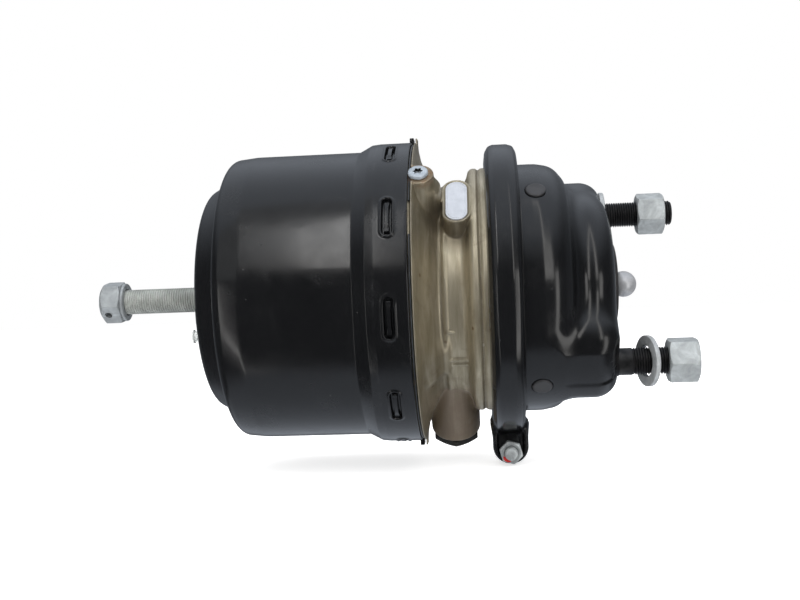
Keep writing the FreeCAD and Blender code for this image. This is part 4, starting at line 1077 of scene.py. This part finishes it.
# painted shade: the inside of the torx socket is given the black plug steel, standing in for the shade in the recess
make("locking_screw_socket", aim(torx(True), lock_at + lock_dir * 91.7, lock_dir), PLUG, "housing", angle=35)


def port_plug(at, way, spin):
    n = 180
    body = hexa(27.0, 5.9, 12.6, 12.4, tan0=0.5, tan1=0.5)
    cup = lathe(rounded([(5.9, 12.2), (5.7, 7.2, 0.4), (3.4, 6.6, 0.4), (3.2, 0)], False), 96, False)
    skirt = lathe(rounded([(-9.0, 0.0), (-9.0, 9.3, 0.6), (-8.0, 10.0, 0.6), (0.0, 10.0), (0.0, 0.0)]), 96)
    return aim(join(body, skirt), at + way * 0.05, way, spin)


make("port_plug_low", port_plug(low_at, low_dir, 0.0), PLUG, "housing", ["port_plug_lower"], angle=28)
make("port_plug_up", port_plug(up_at, up_dir, 0.0), PLUG, "housing", ["port_plug_upper"], angle=28)

# retaining wire: lies a little unevenly in the gap, with a short gap between its two ends
th = np.linspace(0.12, TAU - 0.12, 420)
wave = 0.10 * np.sin(9 * th + 0.6) + 0.07 * np.sin(23 * th)
path = np.stack([-117.05 + 0.05 * np.sin(13 * th), -(91.0 + wave) * np.sin(th + 1.1), (91.0 + wave) * np.cos(th + 1.1)], -1)
make("retaining_wire_bent", tube(path, 0.62, 12), SPRING, "housing", ["retaining_wire"], angle=60)


# ------------------------------------------------------------------ clamp band
def clamp():
    c = -63.6
    g = Field((-76.0, -91.5, -109.2), (-51.2, 91.5, 91.5), 0.5)
    sec = rounded([
        (c - 11.0, 77.0, 0.8), (c - 10.1, 84.6, 5), (c - 8.0, 88.2, 2.2), (c - 5.3, 89.3, 1.0), (c + 3.3, 89.3, 1.0), (c + 7.1, 88.1, 2.2), (c + 8.9, 84.6, 4), (c + 9.5, 77.0, 0.7),
        (c + 8.0, 77.0, 0.6), (c + 7.3, 83.4, 2.5), (c + 6.2, 86.3, 1.2), (c - 6.4, 86.3, 1.2), (c - 7.4, 83.4, 2.5), (c - 8.4, 77.0, 0.8),
    ], seg=5)
    F = g.turned(sec, blur=0.3)
    gap = g.box((c, 0, -95.0), XA, (0, 1, 0), (0, 0, 1), (16.0, 4.8, 20.0), 0.5)
    F = smax(F, -gap, 1.0)
    for side in (-1, 1):
        y = 6.5 * side
        plate = g.stadium((c, y, -90.9), XA, (0, 0, 1), (0, 1, 0), 10.5, 17.3, 1.5, 0.7)
        rim = smax(g.stadium((c, y + side * 2.0, -90.9), XA, (0, 0, 1), (0, 1, 0), 10.5, 17.3, 3.4, 1.4),
                   -g.stadium((c, y + side * 4.0, -91.4), XA, (0, 0, 1), (0, 1, 0), 8.0, 15.2, 9.0, 0.8), 2.4)
        plate = np.maximum(plate, 84.5 - g.R[None])
        rim = np.maximum(rim, 84.5 - g.R[None])
        F = smin(F, plate, 7.5)
        F = smin(F, rim, 2.0)
    F = smax(F, -g.box((c, 0, -95.0), XA, (0, 1, 0), (0, 0, 1), (16.0, 4.85, 20.0), 0.5), 0.6)
    F = np.maximum(F, -108.3 - g.Z)
    F = np.maximum(F, -g.rod((c, -30.0, -101.0), (0, 1, 0), 4.5, 60.0))
    F = np.maximum(F, np.where(np.abs(g.X - c) < 7.4, 84.4 - g.R[None], -9.0))
    return g.surface(F)


piece, nrm = clamp()
make("clamp_band_pressed", piece, BLACK, "housing", ["clamp_band"], normals=nrm)
c = -63.6
nut = aim(hexa(13.0, 6.5, 6.0, 6.0, bore=4.05, edge=0.5), (c, -8.02, -101.0), (0, -1, 0), 0.25)
make("clamp_nut_zinc", nut, ZINC, "housing", ["clamp_nut"], angle=24)
bolt = join(
    aim(thread(-8.0, 21.5, 4.0, 1.25, n=56, k=8, start=4.0, cap1=True, tip=0.7), (c, 0, -101.0), (0, -1, 0)),
    aim(hexa(13.0, 5.3, 6.0, 5.6), (c, 8.04, -101.0), (0, 1, 0), 0.1),
)
make("clamp_bolt_zinc", bolt, ZINC, "housing", ["clamp_bolt"], angle=30)
# a dab of red paint at the nut's lower corner
t = np.linspace(-2.75, -1.65, 26)
wide = 0.9 * np.sin((t + 2.75) / 1.1 * math.pi) ** 0.6 + 0.05
rows = []
for q, lift in ((-1.0, 0.0), (-0.7, 0.16), (0.0, 0.24), (0.7, 0.16), (1.0, 0.0)):
    rr = 5.2 + q * wide * 1.15
    rows.append(np.stack([c + rr * np.cos(t), -14.57 - lift * (0.4 + 0.6 * wide / 0.95) + 0 * t, -101.0 + rr * np.sin(t)], -1))
dab = (np.concatenate(rows), [net(5, 26)])
dab_ob = make("nut_paint_dab", dab, RED, "housing", angle=80)


# ------------------------------------------------------------------ service housing
STUD_A = math.radians(40.8)
sl = np.array([0.0, math.sin(STUD_A), math.cos(STUD_A)])   # stud line, up
sp = np.array([0.0, -math.cos(STUD_A), math.sin(STUD_A)])  # across it, towards -Y


def service():
    g = Field((-62.0, -85.0, -85.0), (0.6, 85.0, 85.0), 0.5)
    out = rounded([
        (-61.0, 0.0), (-61.0, 84.0, 0.4), (-57.0, 84.0, 0.8), (-56.3, 83.0, 0.4), (-56.3, 76.6, 1.5), (-43.0, 76.3, 10), (-33.0, 74.4, 14),
        (-26.6, 66.5, 12), (-22.6, 56.5, 8), (-21.4, 46.0, 6), (-21.4, 0.0),
    ], seg=6)
    F = g.turned(out, blur=0.6)
    a = g.Y * sl[1] + g.Z * sl[2]
    b = g.Y * sp[1] + g.Z * sp[2]
    # lobes: a long round-cornered block trimmed by a circle; disc: the round nose
    # each lobe is wider on one side, and runs into the disc there with a clear hollow; the other side is filled
    xe = 14.0
    lo = 12.0
    turnside = np.clip(0.5 + a * b / 500.0, 0, 1)
    turnside = turnside * turnside * (3 - 2 * turnside)
    qa = np.sqrt(a * a + b * b) - 75.2
    qb = np.abs(b) - (33.0 - 9.4 * turnside)
    corner = np.sqrt(np.maximum(qa + lo, 0) ** 2 + np.maximum(qb + lo, 0) ** 2) - lo
    corner = np.maximum(corner, np.minimum(np.maximum(qa + lo, qb + lo), 0) - lo)
    flat = smin(corner, g.R[None] - 55.6, 10.0 + 20.0 * turnside)
    ea, eb = flat + xe, g.X + xe
    nose = np.minimum(np.maximum(ea, eb), 0) + np.sqrt(np.maximum(ea, 0) ** 2 + np.maximum(eb, 0) ** 2) - xe
    nose = np.maximum(nose, -46.0 - g.X)
    F = smin(F, nose, 8.0)
    F = np.maximum(F, g.R[None] - np.where(g.X > -55.0, 76.4, 84.1))
    inner = g.turned(rounded([
        (-63.0, 0.0), (-63.0, 73.3), (-43.8, 73.3, 8), (-34.0, 71.4, 10), (-28.6, 63.5, 8), (-25.6, 55.0, 4), (-24.4, 45.0, 4), (-24.4, 0.0)]), blur=0.3)
    nin = np.minimum(np.maximum(ea, eb), 0) + np.sqrt(np.maximum(ea, 0) ** 2 + np.maximum(eb, 0) ** 2) - (xe - 3.2)
    nin = np.maximum(nin, -46.0 - g.X)
    F = smax(F, -smin(inner, nin, 2.0), 0.6)
    F = smax(F, -(np.maximum(g.R[None] - 25.0, np.abs(g.X) - 12)), 1.2)
    for s in (1, -1):
        at = sl * s * 60.325
        F = np.maximum(F, -g.rod((-12.0, at[1], at[2]), XA, 8.75, 20.0))
    for deg in (43.2, 139.2):
        n = radial(deg)
        F = np.maximum(F, -g.rod(XA * -45.0 + n * 65.0, n, 5.0, 20.0))
        F = smax(F, -g.rod(XA * -45.0 + n * 75.6, n, 6.15, 9.0), 0.3)
    return g.surface(F)


piece, nrm = service()
make("service_housing_pressed", piece, BLACK, "housing", ["service_housing"], normals=nrm)

drains = []
for deg in (43.2, 139.2):
    n = radial(deg)
    p = rounded([(-4.6, 0.0), (-4.6, 4.7), (-0.7, 4.7), (-0.7, 5.9, 0.2), (0.35, 5.9, 0.5), (0.72, 5.1, 0.5), (0.62, 2.4, 0.6), (0.66, 0.0)], seg=5)
    drains.append(aim(lathe(p, 72), XA * -45.0 + n * 76.5, n))
make("drain_plug_pair", join(*drains), NYLON, "housing", ["drain_plugs"], angle=40)

# ------------------------------------------------------------------ studs, nuts, washers
studs, nuts, washers = [], [], []
for k, s in enumerate((1, -1)):
    at = sl * s * 60.325
    head = lathe(rounded([(-8.2, 0.0), (-8.2, 10.2, 1.0), (-6.8, 11.2, 0.8), (-3.7, 11.2, 0.3), (-3.7, 8.5), (-0.15, 8.5, 0.3), (0.05, 7.9), (0.05, 0.0)]), 96)
    plain = 7.8 if k else 1.2
    shank = lathe(rounded([(0.0, 0.0), (0.0, 7.95), (plain, 7.95, 0.2), (plain + 0.4, 7.5), (plain + 0.4, 0.0)]), 96)
    thr = thread(plain, 46.3, 7.95, 1.5, n=84, k=10, start=7.5, cap1=True, tip=1.1)
    for q in (head, shank, thr):
        studs.append(moved(q, at))
stud_ob = make("stud_pair", join(*studs), STUD, "housing", ["mounting_studs"], angle=40)
for s, x, turn in ((1, 24.0, 20.0), (-1, 28.4, 8.0)):
    at = sl * s * 60.325
    q = hexa(24.0, 17.5, 11.6, 11.6, bore=7.4, edge=1.0)
    nuts.append(moved(about_x(q, turn), np.array([x, 0, 0]) + at))
make("stud_nut_pair", join(*nuts), ZINC, "housing", ["stud_nuts"], angle=24)
w = rounded([(-1.5, 9.2, 0.25), (-1.5, 15.0, 0.45), (1.5, 15.0, 0.8), (1.5, 9.2, 0.25)], seg=4)
wa = lathe(w, 144)
up = sl * 60.325
wdir = np.array([math.cos(math.radians(17)), math.sin(math.radians(17)), 0])
washers = [moved(wa, np.array([1.52, 0, 0]) + up), aim(wa, np.array([17.2, 0, 0]) - up, wdir)]
make("stud_washer_pair", join(*washers), WASHER, "housing", ["stud_washers"], angle=30)

# ------------------------------------------------------------------ push rod, boot, diaphragm, springs
rod = rounded([
    (-70.0, 0.0), (-70.0, 14.0, 0.5), (-67.0, 14.0, 1.2), (-65.0, 9.0, 1.5), (-24.0, 9.0, 0.6), (-23.0, 8.0, 0.4), (-2.0, 8.0, 2.5),
    (1.6, 6.5, 2.0), (3.9, 6.0, 1.0),
], False, 6)
ang = np.linspace(math.radians(132), 0, 36)
ballp = np.stack([9.5 + 7.98 * np.cos(ang), 7.98 * np.sin(ang)], -1)
ballp[-1, 1] = 0.0
full = np.concatenate([rod, ballp])
make("push_rod_ball_end", lathe(full, 144), BALL, "pushrod", ["push_rod"], angle=35)

boot = rounded([
    (3.9, 23.6, 0.3), (3.5, 25.3, 0.7), (1.4, 26.3, 0.6), (0.1, 26.5, 0.3), (0.1, 24.7, 0.2), (-3.25, 24.7, 0.2), (-3.25, 26.8, 0.2), (-5.0, 26.8, 0.3),
    (-5.0, 22.2, 0.5), (-9.0, 20.4, 1.2), (-14.2, 14.0, 1.2), (-16.0, 11.8, 0.6), (-20.8, 11.4, 0.5), (-20.8, 8.2, 0.2), (-15.4, 8.2, 0.4),
    (-13.6, 10.6, 1.0), (-7.6, 18.2, 1.2), (-3.0, 20.0, 1.0), (1.6, 21.0, 1.0),
], seg=4)
boot_ob = make("boot_lip", lathe(finer(boot, 0.8), 144), RUBBER, None, ["boot"], angle=40)
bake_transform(boot_ob)

dia = rounded([
    (-77.2, 0.0), (-77.2, 57.0, 4), (-71.2, 67.4, 3), (-67.15, 74.2, 1), (-67.15, 83.3, 0.4), (-61.05, 83.3, 0.4), (-61.05, 73.8, 0.6),
    (-64.0, 73.2, 1.5), (-66.0, 71.4, 2), (-74.3, 56.0, 4), (-74.3, 0.0),
], seg=5)
dia_ob = make("diaphragm_disc", lathe(finer(dia, 1.2), 144), RUBBER, None, ["diaphragm"], angle=40)
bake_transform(dia_ob)


def helix(x0, x1, r0, r1, turns, wire, dead=0.75, n=20):
    """A compression spring with closed, ground-looking end turns."""
    total = turns + 2 * dead
    t = np.linspace(0, total, int(total * 72))
    lift = np.clip((t - dead) / turns, 0, 1)
    x = x0 + (x1 - x0) * lift
    x = x - np.clip(dead - t, 0, 9) * 0.0 + 0.0
    r = r0 + (r1 - r0) * lift
    a = t * TAU
    path = np.stack([x, -r * np.sin(a), r * np.cos(a)], -1)
    k = 9
    ker = np.ones(k) / k
    for c2 in (0,):
        path[:, c2] = np.convolve(np.pad(path[:, c2], (k // 2, k // 2), mode="edge"), ker, mode="valid")
    return tube(path, wire, n)


lo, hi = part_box("power_spring")
ps = helix(lo.x * 1000 + 5.7, hi.x * 1000 - 5.7, 59.0, 59.0, 3.4, 5.55, 0.5, 24)
ps_ob = make("power_spring_coil", ps, SPRING, None, ["power_spring"], angle=60)
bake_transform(ps_ob)
lo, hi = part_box("return_spring")
rs = helix(lo.x * 1000 + 2.15, hi.x * 1000 - 2.15, 45.0, 27.6, 3.4, 2.08, 0.5, 16)
rs_ob = make("return_spring_coil", rs, SPRING, None, ["return_spring"], angle=60)
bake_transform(rs_ob)

# ------------------------------------------------------------------ stage
def plane(name, x0, x1, y0, y1, z, mat):
    me = bpy.data.meshes.new(name)
    me.from_pydata([(x0, y0, z), (x1, y0, z), (x1, y1, z), (x0, y1, z)], [], [(0, 1, 2, 3)])
    me.materials.append(mat)
    ob = bpy.data.objects.new(name, me)
    bpy.context.scene.collection.objects.link(ob)
    ob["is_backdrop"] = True
    return ob


fm = Nodes("floor_pale")
fcol = fm.ramp(fm.noise(3.0, 4), [(0.3, (0.86, 0.86, 0.865)), (0.7, (0.885, 0.885, 0.885))])
fm.done(fcol, fm.span(fm.noise(9, 3), 0.3, 0.7, 0.85, 0.95), Specular_IOR_Level=0.1, Emission_Color=(1, 1, 1, 1), Emission_Strength=0.66)
floor = plane("floor", -6, 6, -6, 6, -0.1095, fm.mat)
floor.visible_glossy = False


def glow_card(name, az0, az1, el0, el1, dist, strength, color=(1, 1, 1), about=(-0.03, 0, 0)):
    """A softbox seen only in reflections: a piece of a sphere, azimuth from -Y towards +X."""
    m = bpy.data.materials.new(name)
    m.use_nodes = True
    t = m.node_tree
    t.nodes.clear()
    o, e = t.nodes.new("ShaderNodeOutputMaterial"), t.nodes.new("ShaderNodeEmission")
    e.inputs["Color"].default_value, e.inputs["Strength"].default_value = (*color, 1), strength
    t.links.new(e.outputs[0], o.inputs["Surface"])
    nu, nv = 9, 17
    v = []
    for a in np.radians(np.linspace(az0, az1, nu)):
        for b in np.radians(np.linspace(el0, el1, nv)):
            v.append([1000 * (about[0] + dist * math.sin(a) * math.cos(b)), 1000 * (about[1] - dist * math.cos(a) * math.cos(b)),
                      1000 * (about[2] + dist * math.sin(b))])
    ob = bpy.data.objects.new(name, mesh_of(name, v, [net(nu, nv)]))
    ob.data.materials.append(m)
    bpy.context.scene.collection.objects.link(ob)
    ob.visible_camera = ob.visible_diffuse = ob.visible_shadow = ob.visible_transmission = False
    ob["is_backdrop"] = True
    return ob


glow_card("strip_right", 18.0, 28.0, 6.0, 84.0, 1.3, 2.5, (1.0, 0.99, 0.97))
glow_card("strip_right_low", 33.0, 49.0, -50.0, 12.0, 1.3, 2.2, (1.0, 0.99, 0.97))
glow_card("strip_left_low", -39.5, -36.5, -54.0, 8.0, 1.3, 4.0, (1.0, 0.99, 0.97))
glow_card("soft_left", -50.0, -26.0, 12.0, 70.0, 1.3, 0.5, (0.94, 0.97, 1.0))


def area(name, at, look, sx, sy, power, color=(1, 1, 1), glossy=True, diffuse=True):
    L = bpy.data.lights.new(name, "AREA")
    L.shape, L.size, L.size_y, L.energy, L.color = "RECTANGLE", sx, sy, power, color
    ob = bpy.data.objects.new(name, L)
    bpy.context.scene.collection.objects.link(ob)
    ob.location = at
    ob.rotation_euler = (Vector(look) - Vector(at)).to_track_quat("-Z", "Y").to_euler()
    ob.visible_glossy = glossy
    ob.visible_diffuse = diffuse
    ob.visible_camera = False
    return ob


mid = (-0.08, 0, 0)
area("key_strip", (-0.350, -0.95, 0.86), (-0.350, 0, 0.03), 0.13, 1.05, 2.1, (1.0, 0.99, 0.97))
area("front_fill", (0.25, -1.5, 1.1), mid, 1.4, 1.2, 19, (1.0, 1.0, 1.0), glossy=False)
area("top_soft", (-0.05, 0.15, 1.2), (-0.05, 0.0, 0), 1.9, 1.0, 14, (0.97, 0.98, 1.0), glossy=False)

# surroundings: white behind, a plain room for soft light, and in reflections dark in front and bright above, below and behind
world = bpy.data.worlds.new("studio")
bpy.context.scene.world = world
world.use_nodes = True
t = world.node_tree
t.nodes.clear()


def wnode(kind, **props):
    n = t.nodes.new(kind)
    for k, v in props.items():
        setattr(n, k, v)
    return n


def wmath(op, a, b=0.0):
    n = wnode("ShaderNodeMath", operation=op)
    for sock, v in zip(n.inputs, (a, b)):
        if isinstance(v, (int, float)):
            sock.default_value = v
        else:
            t.links.new(v, sock)
    return n.outputs[0]


def wspan(fac, a, b, c, d):
    n = wnode("ShaderNodeMapRange", interpolation_type="SMOOTHSTEP")
    for k, v in (("From Min", a), ("From Max", b), ("To Min", c), ("To Max", d)):
        n.inputs[k].default_value = v
    t.links.new(fac, n.inputs["Value"])
    return n.outputs["Result"]


sep = wnode("ShaderNodeSeparateXYZ")
t.links.new(wnode("ShaderNodeTexCoord").outputs["Generated"], sep.inputs[0])
wy, wz = sep.outputs[1], sep.outputs[2]
over = wspan(wz, 0.30, 0.95, 0.0, 0.74)
down = wspan(wmath("ADD", wmath("MULTIPLY", wz, -1.0), wmath("MULTIPLY", wmath("MAXIMUM", wy, 0.0), 0.5)), 0.80, 0.92, 0.0, 0.42)
rear = wspan(wy, 0.0, 1.0, 0.0, 0.14)
shine = wmath("ADD", wmath("ADD", over, down), rear)
gloss = wnode("ShaderNodeBackground")
gloss.inputs["Color"].default_value = (0.82, 0.89, 1.0, 1)
t.links.new(wmath("ADD", shine, 0.075), gloss.inputs["Strength"])
room = wnode("ShaderNodeBackground")
room.inputs["Color"].default_value = (1.0, 1.0, 1.0, 1)
t.links.new(wspan(wz, -1.0, 1.0, 0.30, 0.75), room.inputs["Strength"])
white = wnode("ShaderNodeBackground")
white.inputs["Color"].default_value, white.inputs["Strength"].default_value = (1, 1, 1, 1), 1.0
path = wnode("ShaderNodeLightPath")
first, second, out = wnode("ShaderNodeMixShader"), wnode("ShaderNodeMixShader"), wnode("ShaderNodeOutputWorld")
t.links.new(path.outputs["Is Glossy Ray"], first.inputs[0])
t.links.new(room.outputs[0], first.inputs[1])
t.links.new(gloss.outputs[0], first.inputs[2])
t.links.new(path.outputs["Is Camera Ray"], second.inputs[0])
t.links.new(first.outputs[0], second.inputs[1])
t.links.new(white.outputs[0], second.inputs[2])
t.links.new(second.outputs[0], out.inputs["Surface"])

bpy.context.scene.view_settings.view_transform = "Standard"

# ------------------------------------------------------------------ camera
psi, rho = math.radians(4.4), math.radians(2.08)
dv = Vector((-math.sin(psi), math.cos(psi), 0))
r0, u0 = Vector((math.cos(psi), math.sin(psi), 0)), Vector((0, 0, 1))
u = u0 * math.cos(rho) + r0 * math.sin(rho)
r = r0 * math.cos(rho) - u0 * math.sin(rho)
cam_data = bpy.data.cameras.new("camera")
cam_data.lens, cam_data.sensor_width = 49.5, 36.0
cam_data.clip_start, cam_data.clip_end = 0.01, 30
cam = bpy.data.objects.new("camera", cam_data)
bpy.context.scene.collection.objects.link(cam)
rot = Matrix((r, u, -dv)).transposed().to_4x4()
cam.matrix_world = Matrix.Translation(Vector((-0.0765, -0.6914, -0.0049))) @ rot
bpy.context.scene.camera = cam

lo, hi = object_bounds()
